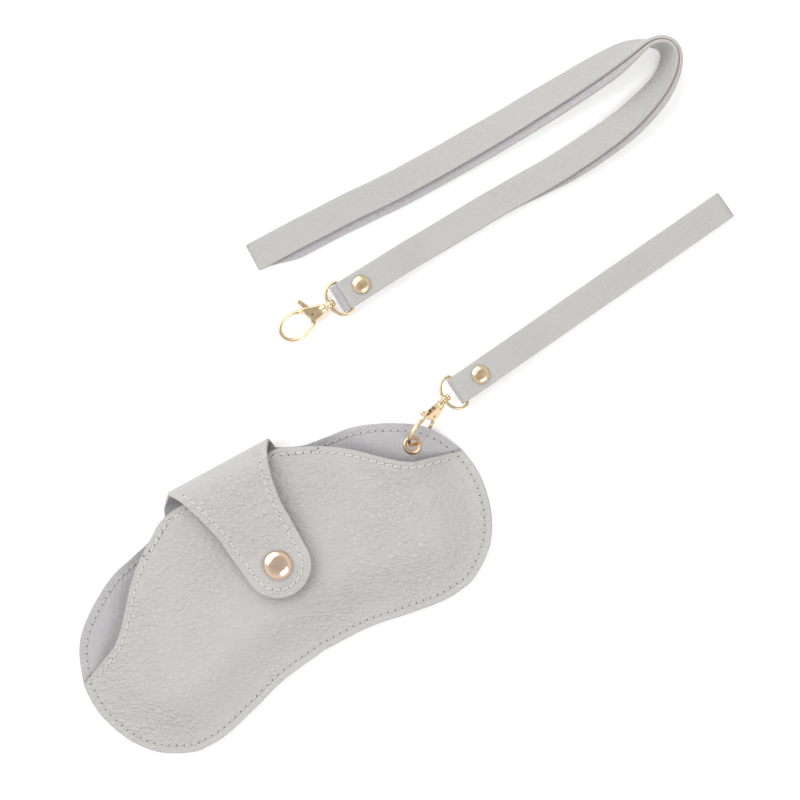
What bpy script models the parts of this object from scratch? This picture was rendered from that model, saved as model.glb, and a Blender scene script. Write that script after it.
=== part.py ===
"""Soft leather pouch glasses case with a snap flap, a wrist strap and a detachable neck strap.

Frame: metres, +X along the pouch, +Y towards the mouth and the flap's fold, +Z up off the table.
The origin is on the underside of the back panel, on the pouch's line of symmetry.
"""

import math

import bmesh
import bpy
from mathutils import Matrix, Vector

MM = 0.001

# Leather and clearances
LEATHER = 1.4 * MM
GAP = 0.3 * MM
STITCH_R = 0.3 * MM
CLEAR = 0.1 * MM

# Pouch: right half of the outline, from the bottom of the waist round to the flap's root
LOWER_HALF = [(0, -30.7), (20.1, -32.3), (34.5, -35.6), (50.2, -38.8), (58.9, -39), (66.5, -37.6),
              (77.9, -30.5), (85.4, -20.2), (89.4, -8.3), (90.3, 0)]
UPPER_HALF = [(90.3, 0), (88.7, 10.5), (82.1, 23.4), (71.5, 32.1), (57.7, 39), (46.1, 41.5),
              (36.4, 43.5), (29.1, 47), (26, 49)]
MOUTH_HALF = [(0, 48.6), (24, 48.4), (35, 43.8), (49, 34.5), (63, 20.6), (70, 15), (77, 12.5), (88.3, 8.5)]
ROOT_Y = 49 * MM
TIP_CUT = 0.05 * MM
SEWN_TOP_Y = 9.5 * MM
PERIMETER_INSET = 3 * MM
MOUTH_INSET = 2.4 * MM
MOUTH_SEAM_X = 82 * MM

# Pocket: how far the front panel bulges, and how far the right shoulder lifts off the table
BULGE = 5.5 * MM
BULGE_REACH = 21 * MM
SEWN_MARGIN = 4 * MM
MOUTH_RISE = 2.2 * MM
MOUTH_RISE_FROM = 15 * MM
MOUTH_RISE_REACH = 30 * MM
MOUTH_RISE_WIDTH = 45 * MM
SHOULDER_LIFT = 3.3 * MM
SHOULDER_CENTRE = (74 * MM, 30 * MM)
SHOULDER_FLAT = 12.5 * MM
SHOULDER_END = 28 * MM

# Flap: half widths along its length, and its side profile over the mouth
FLAP_X = 3 * MM
FOLD_SKEW = 0.057
SKEW_FROM = (34 * MM, 0.7 * MM)
SKEW_REACH = (16 * MM, 5 * MM)
ROOT_HALF = 26 * MM
FLAP_EDGE = [(54, 22.6), (48.7, 19.5), (41, 17), (30, 14.7), (21, 14.2), (8.6, 13.4)]
FOLD_PROFILE = [(49.4, 0.7), (52, 1.6), (53.7, 4), (54, 7)]
FLAP_PROFILE = [(54, 7.5), (53.6, 11.5), (51, 14.6), (44, 15.8), (30, 15), (18, 13.6), (9, 13.3)]
TONGUE_R = 13.4 * MM
TONGUE_Z = 13.3 * MM
TONGUE_DROP = 1.6 * MM
DROP_FROM_Y = 4 * MM
DROP_REACH = 12 * MM
FLAP_INSET = 3.4 * MM

# Snap
SNAP = (3 * MM, 8.6 * MM)
SNAP_HOLE_R = 1.6 * MM
SNAP_CAP_R = 5.9 * MM
STUD_BASE_Z = 9 * MM

# Eyelet
EYELET = (73.3 * MM, 20.7 * MM)
EYELET_R = 3.8 * MM
EYELET_HOLE_R = 2.3 * MM
EYELET_CUT_R = 3.05 * MM

# Swivel clasps, in their own plane: u from the swivel to the ring, v towards the thumb tab
WIRE_R = 0.75 * MM
RING_CENTRE = 16 * MM
RING_LONG = 6.5 * MM
RING_WIDE = 5.2 * MM
PLATE = [(1.6, -1.7), (1.6, 1.7), (4, 2.4), (9.4, 4.5), (10.3, 4.2), (10.1, 1.6), (9.3, -0.8), (8.2, -2.9),
         (3, -2.1)]
PLATE_HALF = 1.25 * MM
SLOT_HALF = 0.75 * MM
GATE = [(7.2, -1.1), (8.3, -3.4), (10.2, -4.3), (15.6, -6.0), (15.9, -5.0), (10.6, -3.2), (9.3, -1.1),
        (8.9, 1.6), (9.0, 3.4), (10.6, 7.5), (10.0, 8.4), (8.9, 8.1), (7.3, 4.0), (6.3, 1.0)]
GATE_HALF = 0.45 * MM
PIN_AT = (7.8, 0.4)
PIN_R = 0.45 * MM
COLLAR_AT = 2.9
COLLAR_R = 1.8 * MM
COLLAR_LENGTH = 2.6 * MM
SLOT_AT = (7.2, -0.9)
SLOT_SIZE = (5.2 * MM, 14 * MM)
SPRING_AT = 5.3 * MM
SPRING_R = 0.45 * MM
SPRING_HALF = 0.7 * MM
SPRING_WIRE_R = 0.12 * MM
DRING_R = 0.65 * MM
DRING_HALF = 6.85 * MM
DRING_BAR = 7.4 * MM
DRING_ARC = 4.8 * MM
DRING_CORNER = 1.4 * MM
BOSS_AT = -0.1
BOSS_R = 1.7 * MM
BOSS_LENGTH = 2 * MM
BORE_AT = 1.1
BORE_DEPTH = 3.6 * MM
BORE_R = 1.0 * MM
POST_R = 0.8 * MM
POST_HEAD_R = 1.5
POST_HEAD_AT = -1.3

# Straps: a strip doubled into a loop; the near end is three layers thick under the rivet
STRAP_W = 11.6 * MM
LAYER = LEATHER + GAP
STACK_BASE = 1.55 * MM
STACK = [STACK_BASE, STACK_BASE + LAYER, STACK_BASE + 2 * LAYER]
PAIR = [LEATHER / 2, LEATHER / 2 + LAYER]
WRAP_R = DRING_R + GAP + LEATHER / 2
SETTLE = (18 * MM, 42 * MM)
TAIL = 16 * MM
STRAP_STEP = 6 * MM
TURN_STEPS = 10
WRIST_NEAR = 8 * MM
NECK_NEAR = 4.5 * MM
NECK_OVERHANG = 0.4 * MM
NECK_NOSE = 3.1 * MM
RIVET_R = 3.65 * MM
RIVET_POST_R = 1.2 * MM

# Where the clasps lie: swivel point, heading of the clasp, its roll, heading and rise of the D-ring
WRIST = {"name": "wrist", "swivel": (93.76, 29.36, 5.3), "heading": 21, "roll": 60,
         "ring_heading": 3, "rise": -11}
NECK = {"name": "neck", "swivel": (74.5, 85.9, 1.9), "heading": 0, "roll": 0, "ring_heading": 0, "rise": 5}
WRIST_LENGTH = 129 * MM
WRIST_RETURN = 5 * MM
WRIST_RIVET = 10.3 * MM
NECK_RIVET = 7.8 * MM

# Neck strap's route from its D-ring, round the bend, to its far fold: x, y and roll in degrees
NECK_ROUTE = [(80.6, 85.9, 0), (110, 86.1, 0), (154.8, 85.4, 4), (180.5, 84.4, 10), (205, 85, 20),
              (222, 87.4, 36), (235, 91.6, 52), (242.6, 97.6, 62), (243.6, 103.2, 75), (238.6, 107.6, 95),
              (229, 109.6, 125), (214, 110, 145), (190, 110.3, 160), (160, 111, 172), (125.4, 112.7, 178),
              (94.7, 115.7, 180), (59.6, 118.2, 180)]
# How far one layer shows beside the other, then the shares of the strap's length where this starts,
# is whole, fades and is gone
LOWER_PEEK = (2 * MM, 0.2, 0.32, 0.4, 0.48)
UPPER_PEEK = (3.2 * MM, 0.47, 0.55, 0.95, 1)

COLOURS = {
    "leather": ((0.56, 0.56, 0.53), 0.55, 0.0),
    "thread": ((0.78, 0.77, 0.74), 0.7, 0.0),
    "pale_gold": ((0.83, 0.68, 0.42), 0.25, 1.0),
    "rose_gold": ((0.86, 0.62, 0.46), 0.2, 1.0),
    "steel": ((0.6, 0.6, 0.6), 0.3, 1.0),
}


def clear_scene():
    for obj in list(bpy.data.objects):
        bpy.data.objects.remove(obj, do_unlink=True)


def collection(name):
    made = bpy.data.collections.new(name)
    bpy.context.scene.collection.children.link(made)
    return made


def material(name):
    made = bpy.data.materials.get(name)
    if made:
        return made
    colour, roughness, metallic = COLOURS[name]
    made = bpy.data.materials.new(name)
    made.use_nodes = True
    shader = made.node_tree.nodes["Principled BSDF"]
    shader.inputs["Base Color"].default_value = (*colour, 1)
    shader.inputs["Roughness"].default_value = roughness
    shader.inputs["Metallic"].default_value = metallic
    return made


def place(name, data, finish=None, place_matrix=None):
    """Adds an object: a part with its finish, or a hidden cutter when it has none."""
    obj = bpy.data.objects.new(name, data)
    if place_matrix is not None:
        obj.matrix_world = place_matrix
    if finish:
        data.materials.append(material(finish))
        PARTS.objects.link(obj)
    else:
        CUTTERS.objects.link(obj)
        obj.hide_render = True
        obj.display_type = "WIRE"
    return obj


def boolean(obj, cutter, operation="DIFFERENCE"):
    modifier = obj.modifiers.new(cutter.name, "BOOLEAN")
    modifier.object = cutter
    modifier.operation = operation
    modifier.solver = "EXACT"


def smooth_line(points, step):
    """A smooth curve through the points, as vectors about step apart (Catmull-Rom)."""
    points = [Vector(point) for point in points]
    ends = [2 * points[0] - points[1], *points, 2 * points[-1] - points[-2]]
    line = []
    for a, b, c, d in zip(ends, ends[1:], ends[2:], ends[3:]):
        count = max(1, round((c - b).length / step))
        for k in range(count):
            t = k / count
            line.append(0.5 * (2 * b + (c - a) * t + (2 * a - 5 * b + 4 * c - d) * t**2
                               + (3 * b - a - 3 * c + d) * t**3))
    return [*line, points[-1]]


def half_line(points, step=1.5):
    return [point * MM for point in smooth_line(points, step)]


def value_at(line, key, want, read):
    """Reads one coordinate of a line where another, which only rises or falls, has a given value."""
    for a, b in zip(line, line[1:]):
        low, high = sorted((a[key], b[key]))
        if low <= want <= high and a[key] != b[key]:
            t = (want - a[key]) / (b[key] - a[key])
            return a[read] * (1 - t) + b[read] * t
    return min(line, key=lambda point: abs(point[key] - want))[read]


def ease(t):
    t = min(max(t, 0), 1)
    return t * t * (3 - 2 * t)


def back_lift(x, y):
    away = math.hypot(x - SHOULDER_CENTRE[0], y - SHOULDER_CENTRE[1])
    return SHOULDER_LIFT * (1 - ease((away - SHOULDER_FLAT) / (SHOULDER_END - SHOULDER_FLAT)))


def front_underside(x, y):
    """Height of the front panel's inner face: sewn flat at the margin, then bulged, highest at the mouth."""
    side = Vector((abs(x), y))
    inward = min((point - side).length for point in SEWN)
    bulge = BULGE * ease((inward - SEWN_MARGIN) / BULGE_REACH)
    middle = math.exp(-((x / MOUTH_RISE_WIDTH) ** 2))
    rise = MOUTH_RISE * middle * ease((y - MOUTH_RISE_FROM) / MOUTH_RISE_REACH)
    return LEATHER + GAP + back_lift(x, y) + bulge + rise


def grid_sheet(name, columns, rows, spot, finish, thickness=LEATHER):
    """A leather sheet: a grid whose points are moved to their spots, then thickened about its middle."""
    mesh = bpy.data.meshes.new(name)
    work = bmesh.new()
    bmesh.ops.create_grid(work, x_segments=columns, y_segments=rows, size=1)
    for vert in work.verts:
        vert.co = spot((vert.co.x + 1) / 2, (vert.co.y + 1) / 2)
    bmesh.ops.recalc_face_normals(work, faces=work.faces)
    work.to_mesh(mesh)
    work.free()
    mesh.shade_smooth()
    obj = place(name, mesh, finish)
    shell = obj.modifiers.new("leather thickness", "SOLIDIFY")
    shell.thickness = thickness
    shell.offset = 0
    shell.use_even_offset = True
    return obj


def cylinder(name, radius, depth, matrix, finish=None, sides=24):
    mesh = bpy.data.meshes.new(name)
    work = bmesh.new()
    bmesh.ops.create_cone(work, cap_ends=True, segments=sides, radius1=radius, radius2=radius, depth=depth)
    work.to_mesh(mesh)
    work.free()
    return place(name, mesh, finish, matrix)


def turned(name, profile, matrix, finish, sides=28):
    """A turned piece: its profile (radius, height in mm) runs down the outer side and turns about Z."""
    mesh = bpy.data.meshes.new(name)
    points = [(radius * MM, 0, height * MM) for radius, height in profile]
    mesh.from_pydata(points, [(k, k + 1) for k in range(len(points) - 1)], [])
    obj = place(name, mesh, finish, matrix)
    screw = obj.modifiers.new("turned", "SCREW")
    screw.steps = screw.render_steps = sides
    screw.use_merge_vertices = True
    screw.merge_threshold = 0.00002
    return obj


def tube(name, points, radius, finish=None, cyclic=False, sides=1, matrix=None):
    """A wire or thread of constant radius along the points."""
    curve = bpy.data.curves.new(name, "CURVE")
    curve.dimensions = "3D"
    curve.bevel_depth = radius
    curve.bevel_resolution = sides
    curve.use_fill_caps = True
    spline = curve.splines.new("POLY")
    spline.points.add(len(points) - 1)
    for spot, point in zip(spline.points, points):
        spot.co = (*point, 1)
    spline.use_cyclic_u = cyclic
    return place(name, curve, finish, matrix)


def plate(name, outline, half, bevel, finish=None, matrix=None):
    """A flat plate from its outline (mm), thickened to half on each side of its plane, edges rounded."""
    curve = bpy.data.curves.new(name, "CURVE")
    curve.dimensions = "2D"
    curve.fill_mode = "BOTH"
    curve.extrude = half - bevel
    curve.bevel_depth = bevel
    curve.bevel_resolution = 0
    curve.offset = -bevel
    spline = curve.splines.new("POLY")
    spline.points.add(len(outline) - 1)
    for spot, (u, v) in zip(spline.points, outline):
        spot.co = (u * MM, v * MM, 0, 1)
    spline.use_cyclic_u = True
    return place(name, curve, finish, matrix)


def as_mesh(obj, finish=None):
    """Replaces a curve object by the closed mesh that it draws, so that it can be cut or joined."""
    name, matrix = obj.name, obj.matrix_world.copy()
    graph = bpy.context.evaluated_depsgraph_get()
    mesh = bpy.data.meshes.new_from_object(obj.evaluated_get(graph))
    bpy.data.objects.remove(obj, do_unlink=True)
    work = bmesh.new()
    work.from_mesh(mesh)
    bmesh.ops.remove_doubles(work, verts=work.verts, dist=0.00001)
    bmesh.ops.recalc_face_normals(work, faces=work.faces)
    work.to_mesh(mesh)
    work.free()
    mesh.materials.clear()
    return place(name, mesh, finish, matrix)


def at(x, y, z=0):
    return Matrix.Translation((x, y, z))


def quarter(steps):
    """Angles of a quarter turn, from the axis out to the rim."""
    return [math.pi / 2 * k / steps for k in range(steps + 1)]


# ---------------------------------------------------------------- pouch


def mirrored(half):
    """The full line from its right half, left end first."""
    return [Vector((-point.x, point.y)) for point in reversed(half[1:])] + list(half)


def back_panel():
    lower, upper = half_line(LOWER_HALF), half_line(UPPER_HALF)
    reach = LOWER_HALF[-1][0] * MM - TIP_CUT

    def spot(across, up):
        x = reach * math.sin(math.pi * (across - 0.5))
        bottom = value_at(lower, 0, abs(x), 1)
        top = ROOT_Y if abs(x) < UPPER_HALF[-1][0] * MM else value_at(upper, 0, abs(x), 1)
        y = bottom + (top - bottom) * up
        return (x, y, LEATHER / 2 + back_lift(x, y))

    panel = grid_sheet("back_panel", 36, 11, spot, "leather")
    boolean(panel, cylinder("cut_eyelet", EYELET_CUT_R, 20 * MM, at(*EYELET)))


def front_panel():
    mouth = half_line(MOUTH_HALF)
    sewn_line, mouth_line = mirrored(SEWN), mirrored(mouth)

    def along(line, t):
        place_on = t * (len(line) - 1)
        k = min(int(place_on), len(line) - 2)
        return line[k].lerp(line[k + 1], place_on - k)

    def spot(across, up):
        start = along(sewn_line, across)
        point = start.lerp(along(mouth_line, across), up)
        return (point.x, point.y, front_underside(point.x, point.y) + LEATHER / 2)

    panel = grid_sheet("front_panel", 36, 10, spot, "leather")
    boolean(panel, cylinder("cut_snap_front", SNAP_HOLE_R, 30 * MM, at(*SNAP)))


def flap_point(profile, half_width, x_share):
    """A point of the flap's middle surface; the fold is slightly skewed across the pouch."""
    y, z = profile
    x = FLAP_X + half_width * x_share
    raised = ease((y - SKEW_FROM[0]) / SKEW_REACH[0]) * ease((z - SKEW_FROM[1]) / SKEW_REACH[1])
    return (x, y - FOLD_SKEW * (x - FLAP_X) * raised, z)


def tongue_height(y):
    """Height of the tongue's middle surface; its tip droops a little."""
    return TONGUE_Z - TONGUE_DROP * ease((DROP_FROM_Y - y) / DROP_REACH)


def flap_fold():
    """The lower half of the fold, which rises from the back panel's root."""
    line = [point * MM for point in smooth_line(FOLD_PROFILE, 1.3)]

    def spot(across, up):
        k = round(up * (len(line) - 1))
        narrowed = ease(k / (len(line) - 1))
        half = ROOT_HALF * (1 - narrowed) + FLAP_EDGE[0][1] * MM * narrowed
        return flap_point(line[k], half, 2 * across - 1)

    grid_sheet("flap_fold", 10, len(line) - 1, spot, "leather")


def closure_flap():
    profile = [point * MM for point in smooth_line(FLAP_PROFILE, 2.6)]
    edge = [point * MM for point in smooth_line(FLAP_EDGE, 1)]
    stations = [(point, value_at(edge, 0, point.x, 1)) for point in profile]
    arc_steps = 7
    for k in range(1, arc_steps + 1):
        angle = 0.5 * math.pi * min(k / arc_steps, 0.96)
        y = SNAP[1] - TONGUE_R * math.sin(angle)
        stations.append((Vector((y, tongue_height(y))), TONGUE_R * math.cos(angle)))

    def spot(across, along):
        middle, half = stations[round(along * (len(stations) - 1))]
        return flap_point(middle, half, 2 * across - 1)

    flap = grid_sheet("closure_flap", 10, len(stations) - 1, spot, "leather")
    boolean(flap, cylinder("cut_snap_flap", SNAP_HOLE_R, 8 * MM, at(*SNAP, TONGUE_Z)))


def inset(line, distance):
    """The line moved sideways to its left by a distance."""
    moved = []
    for k, point in enumerate(line):
        ahead = line[min(k + 1, len(line) - 1)] - line[max(k - 1, 0)]
        ahead.normalize()
        moved.append(point + Vector((-ahead.y, ahead.x)) * distance)
    return moved


def thin(line, every):
    return [*line[:-1:every], line[-1]]


def perimeter_stitching():
    """One thread all the way round: on the front panel where it is sewn, on the bare shoulders beyond it."""
    right = SEWN + [point for point in half_line(UPPER_HALF) if point.y > SEWN[-1].y]
    full = [Vector((-point.x, point.y)) for point in reversed(right[1:])] + right
    line = inset(full, PERIMETER_INSET)
    clear = LEATHER + GAP + STITCH_R + CLEAR
    points = []
    for point in thin(line, 4):
        on_front = ease((SEWN[-1].y + 5 * MM - point.y) / (2.5 * MM))
        height = back_lift(point.x, point.y) + clear + on_front * (
            front_underside(point.x, point.y) - back_lift(point.x, point.y))
        points.append((point.x, point.y, height))
    tube("perimeter_stitching", points, STITCH_R, "thread")


def mouth_stitching():
    line = inset(mirrored(half_line(MOUTH_HALF)), -MOUTH_INSET)
    line = [point for point in line if abs(point.x) < MOUTH_SEAM_X]
    points = [(p.x, p.y, front_underside(p.x, p.y) + LEATHER + GAP + STITCH_R) for p in thin(line, 4)]
    tube("mouth_stitching", points, STITCH_R, "thread")


def flap_stitching():
    """The thread round the flap's top face, inset from its edge, from one side of the fold to the other."""
    profile = [point * MM for point in smooth_line(FLAP_PROFILE, 3) if point.x < 48]
    edge = [point * MM for point in smooth_line(FLAP_EDGE, 1)]
    side = []
    for point in profile:
        half = value_at(edge, 0, point.x, 1) - FLAP_INSET
        side.append((half, point))
    radius = TONGUE_R - FLAP_INSET
    for k in range(1, 8):
        angle = 0.5 * math.pi * k / 8
        y = SNAP[1] - radius * math.sin(angle)
        side.append((radius * math.cos(angle), Vector((y, tongue_height(y)))))
    lift = LEATHER / 2 + GAP + STITCH_R + CLEAR
    both = [(-half, middle) for half, middle in side] + [(half, middle) for half, middle in reversed(side)]
    points = []
    for half, middle in both:
        x, y, z = flap_point(middle, half, 1)
        points.append((x, y, z + lift))
    tube("flap_stitching", points, STITCH_R, "thread")


def snap():
    front_top = front_underside(*SNAP) + LEATHER
    base = STUD_BASE_Z / MM
    turned("snap_stud", [(1.5, base + 2.3), (2.0, base + 2.3), (2.25, base + 1.8), (1.9, base + 1),
                         (2.1, base + 0.7), (5.2, base + 0.5), (5.4, base), (1.5, base), (1.5, base + 2.3)],
           at(*SNAP), "steel")
    inside = (front_top - LEATHER) / MM - 0.8
    turned("snap_stud_post", [(0, base + 1.9), (1.1, base + 1.9), (1.1, inside + 0.5), (4.4, inside + 0.4),
                              (4.5, inside), (0, inside)], at(*SNAP), "steel")
    flap_low = (TONGUE_Z - LEATHER / 2) / MM
    low, high = base + 0.9, flap_low - 0.3
    turned("snap_socket", [(1.5, high), (5.2, high), (5.5, high - 0.4), (5.5, low + 0.3), (5.2, low),
                           (2.7, low), (2.7, high - 0.6), (1.5, high - 0.6), (1.5, high)], at(*SNAP), "steel")
    cap = (TONGUE_Z + LEATHER / 2) / MM + 0.3
    rim = SNAP_CAP_R / MM
    dome = [(rim * math.sin(a), cap + 0.5 + 1.8 * math.cos(a)) for a in quarter(6)]
    turned("snap_cap", [(0.0, dome[0][1]), *dome[1:], (rim, cap + 0.2), (rim - 0.3, cap), (1.2, cap),
                        (1.2, high - 0.3), (0, high - 0.3)], at(*SNAP), "rose_gold")


def eyelet():
    middle = (LEATHER / 2 + back_lift(*EYELET)) / MM
    top, under = middle + 1.05, middle - 1.05
    hole, rim = EYELET_HOLE_R / MM, EYELET_R / MM
    turned("eyelet", [(hole + 0.35, top + 0.55), (rim - 0.6, top + 0.5), (rim, top), (hole + 0.45, top),
                      (hole + 0.45, under - 0.1), (hole, under - 0.1), (hole, top + 0.3),
                      (hole + 0.35, top + 0.55)], at(*EYELET), "pale_gold")
    turned("eyelet_washer", [(hole + 0.65, under), (rim - 0.3, under), (rim - 0.1, under - 0.3),
                             (hole + 0.65, under - 0.3), (hole + 0.65, under)], at(*EYELET), "pale_gold")


# ---------------------------------------------------------------- clasps


def clasp_frame(clasp):
    """Row-frame matrix of the clasp's plane: u away from the strap, v to the tab's side."""
    heading = math.radians(clasp["heading"])
    along = Vector((-math.cos(heading), -math.sin(heading), 0))
    side = Vector((-math.sin(heading), math.cos(heading), 0))
    roll = math.radians(clasp["roll"])
    tab = side * math.cos(roll) + Vector((0, 0, 1)) * math.sin(roll)
    return frame_of(clasp, along, tab)


def ring_frame(clasp):
    """Row-frame matrix of the D-ring: u from its bar to the swivel, v along the bar."""
    heading, rise = math.radians(clasp["ring_heading"]), math.radians(clasp["rise"])
    along = -Vector((math.cos(heading) * math.cos(rise), math.sin(heading) * math.cos(rise), math.sin(rise)))
    return frame_of(clasp, along, Vector((-math.sin(heading), math.cos(heading), 0)))


def frame_of(clasp, along, side):
    axes = Matrix((along, side, along.cross(side))).transposed().to_4x4()
    return at(*(value * MM for value in clasp["swivel"])) @ axes


ACROSS = Matrix.Rotation(math.pi / 2, 4, "Y")


def local(u, v, w=0):
    return Matrix.Translation((u * MM, v * MM, w * MM))


def clasp(which):
    name, frame, ring = which["name"], clasp_frame(which), ring_frame(which)
    wire = [(8.6 * MM, 3.4 * MM, 0), (10.2 * MM, 3.9 * MM, 0)]
    for k in range(17):
        angle = math.radians(128 - 13.2 * k)
        wire.append((RING_CENTRE + RING_LONG * math.cos(angle), RING_WIDE * math.sin(angle), 0))
    hook = as_mesh(plate(f"{name}_clasp_hook", PLATE, PLATE_HALF, 0.3 * MM, None, frame), "pale_gold")
    boolean(hook, as_mesh(tube(f"join_{name}_arm", wire, WIRE_R, sides=1, matrix=frame)), "UNION")
    collar_at = frame @ local(COLLAR_AT, 0) @ ACROSS
    collar = cylinder(f"join_{name}_collar", COLLAR_R, COLLAR_LENGTH, collar_at, sides=20)
    boolean(hook, collar, "UNION")
    slot = bpy.data.meshes.new(f"cut_{name}_slot")
    work = bmesh.new()
    bmesh.ops.create_cube(work, size=1)
    bmesh.ops.scale(work, vec=(*SLOT_SIZE, 2 * SLOT_HALF), verts=work.verts)
    work.to_mesh(slot)
    work.free()
    boolean(hook, place(slot.name, slot, None, frame @ local(*SLOT_AT)))
    boolean(hook, cylinder(f"cut_{name}_pin", PIN_R + CLEAR, 6 * MM, frame @ local(*PIN_AT), sides=16))
    bore_at = ring @ local(BORE_AT, 0) @ ACROSS
    boolean(hook, cylinder(f"cut_{name}_bore", BORE_R, BORE_DEPTH, bore_at, sides=16))

    gate = as_mesh(plate(f"{name}_clasp_gate", GATE, GATE_HALF, 0.12 * MM, None, frame), "pale_gold")
    boolean(gate, cylinder(f"cut_{name}_gate", PIN_R + CLEAR, 6 * MM, frame @ local(*PIN_AT), sides=16))
    cylinder(f"{name}_gate_pin", PIN_R, 2 * PLATE_HALF, frame @ local(*PIN_AT), "pale_gold", sides=16)
    turns, per_turn = 3, 10
    coil = []
    for k in range(turns * per_turn + 1):
        angle = 2 * math.pi * k / per_turn
        along = SPRING_HALF * (2 * k / (turns * per_turn) - 1)
        coil.append((SPRING_AT + SPRING_R * math.cos(angle), along, SPRING_R * math.sin(angle)))
    tube(f"{name}_gate_spring", coil, SPRING_WIRE_R, "steel", matrix=frame)

    shank, under = POST_R / MM, POST_HEAD_AT
    post = [(0, 2.6), (shank, 2.6), (shank, under), (POST_HEAD_R, under), (POST_HEAD_R, under - 0.5),
            (0.9, under - 1.1), (0, under - 1.2)]
    turned(f"{name}_swivel_post", post, ring @ ACROSS, "pale_gold", 20)

    half, bar, round_off = DRING_HALF, -DRING_BAR, 0.3 * DRING_CORNER
    d_path = [(bar, 0, 0), (bar, half - DRING_CORNER, 0), (bar + round_off, half - round_off, 0)]
    for k in range(13):
        angle = math.radians(88 - 176 * k / 12)
        d_path.append((DRING_ARC * (math.cos(angle) - 1), half * math.sin(angle), 0))
    d_path += [(x, -y, z) for x, y, z in reversed(d_path[1:3])]
    ring_obj = as_mesh(tube(f"{name}_dring", d_path, DRING_R, cyclic=True, sides=1, matrix=ring), "pale_gold")
    boss_at = ring @ local(BOSS_AT, 0) @ ACROSS
    boolean(ring_obj, cylinder(f"join_{name}_boss", BOSS_R, BOSS_LENGTH, boss_at, sides=20), "UNION")
    boolean(ring_obj, cylinder(f"cut_{name}_boss", BORE_R, 6 * MM, boss_at, sides=16))


# ---------------------------------------------------------------- straps


def bar_centre(which):
    return ring_frame(which) @ Vector((-DRING_BAR, 0, 0))


def stack_height(layer, distance):
    """Middle of a layer above the table: 0 bottom, 1 middle, 2 top; it settles beyond the rivet."""
    settled = ease((distance - SETTLE[0]) / (SETTLE[1] - SETTLE[0]))
    return STACK[layer] * (1 - settled) + PAIR[max(layer - 1, 0)] * settled


def half_turn(height, nose, count):
    """From above the bar, round a nose this far past it, to below it: (distance, height) of each point."""
    return [(-nose * math.sin(math.pi * k / count), height + WRAP_R * math.cos(math.pi * k / count))
            for k in range(count + 1)]


def run(first, last, step):
    count = max(1, round(abs(last - first) / step))
    return [first + (last - first) * k / count for k in range(count + 1)]


def far_fold(length):
    """The strip's turn at its far end, from the upper layer down to the lower one."""
    middle, steps = sum(PAIR) / 2, 6
    turn = [math.pi * k / steps for k in range(1, steps)]
    return [(length + LAYER / 2 * math.sin(angle), middle + LAYER / 2 * math.cos(angle)) for angle in turn]


def wrist_strip(bar_z):
    """Tail, round the bar, out along the top to the far fold, and back to just short of the bar."""
    strip = []
    for s in run(TAIL, 2 * MM, STRAP_STEP / 2):
        strip.append((s, STACK[0] + (bar_z - WRAP_R - STACK[0]) * (1 - ease(s / WRIST_NEAR))))
    strip += reversed(half_turn(bar_z, WRAP_R, TURN_STEPS))
    for s in [2 * MM, 4 * MM, 6 * MM, *run(9 * MM, WRIST_LENGTH, STRAP_STEP)]:
        strip.append((s, stack_height(2, s) + (bar_z + WRAP_R - STACK[2]) * (1 - ease(s / WRIST_NEAR))))
    strip += far_fold(WRIST_LENGTH)
    strip += [(s, stack_height(1, s)) for s in run(WRIST_LENGTH, WRIST_RETURN, STRAP_STEP)]
    return strip


def strap_band(name, strip, route, hole):
    """A leather strip laid along its route. Each strip point is a distance, a height and a sideways shift."""
    def spot(along, across):
        distance, height, shift = strip[round(along * (len(strip) - 1))]
        return route(distance, height, shift + STRAP_W * (across - 0.5))

    band = grid_sheet(name, len(strip) - 1, 1, spot, "leather")
    boolean(band, cylinder(f"cut_{name}", RIVET_POST_R + GAP, 16 * MM, at(*hole)))


def rivet(name, spot):
    top = (STACK[2] + LEATHER / 2) / MM + 0.3
    radius = RIVET_R / MM
    dome = [(radius * math.sin(a), top + 0.45 + 0.9 * math.cos(a)) for a in quarter(5)]
    turned(f"{name}_rivet_cap", [(0, dome[0][1]), *dome[1:], (radius, top + 0.2), (radius - 0.3, top),
                                 (1.5, top), (1.5, top + 0.7), (0, top + 0.7)], at(*spot), "pale_gold", 24)
    turned(f"{name}_rivet_post", [(0, top + 0.4), (1.2, top + 0.4), (1.2, 0.55), (radius - 0.2, 0.5),
                                  (radius, 0.3), (radius - 0.4, 0.05), (0, 0.05)], at(*spot), "pale_gold", 24)


def wrist_strap():
    bar = bar_centre(WRIST)
    heading = math.radians(WRIST["ring_heading"])
    along = Vector((math.cos(heading), math.sin(heading), 0))
    side = Vector((-along.y, along.x, 0))

    def route(distance, height, sideways):
        return Vector((bar.x, bar.y, 0)) + along * distance + side * sideways + Vector((0, 0, height))

    spot = route(WRIST_RIVET, 0, 0)
    strip = [(s, z, 0) for s, z in wrist_strip(bar.z)]
    strap_band("wrist_strap_band", strip, route, spot.xy)
    rivet("wrist_strap", spot.xy)


def neck_route_line():
    """Samples of the neck strap's route as (distance from the D-ring's bar, x, y, roll)."""
    line = smooth_line(NECK_ROUTE, STRAP_STEP / MM)
    samples, distance = [], line[0].x * MM - bar_centre(NECK).x
    for k, point in enumerate(line):
        if k:
            distance += (point.xy - line[k - 1].xy).length * MM
        samples.append((distance, point.x * MM, point.y * MM, math.radians(point.z)))
    return samples


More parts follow.
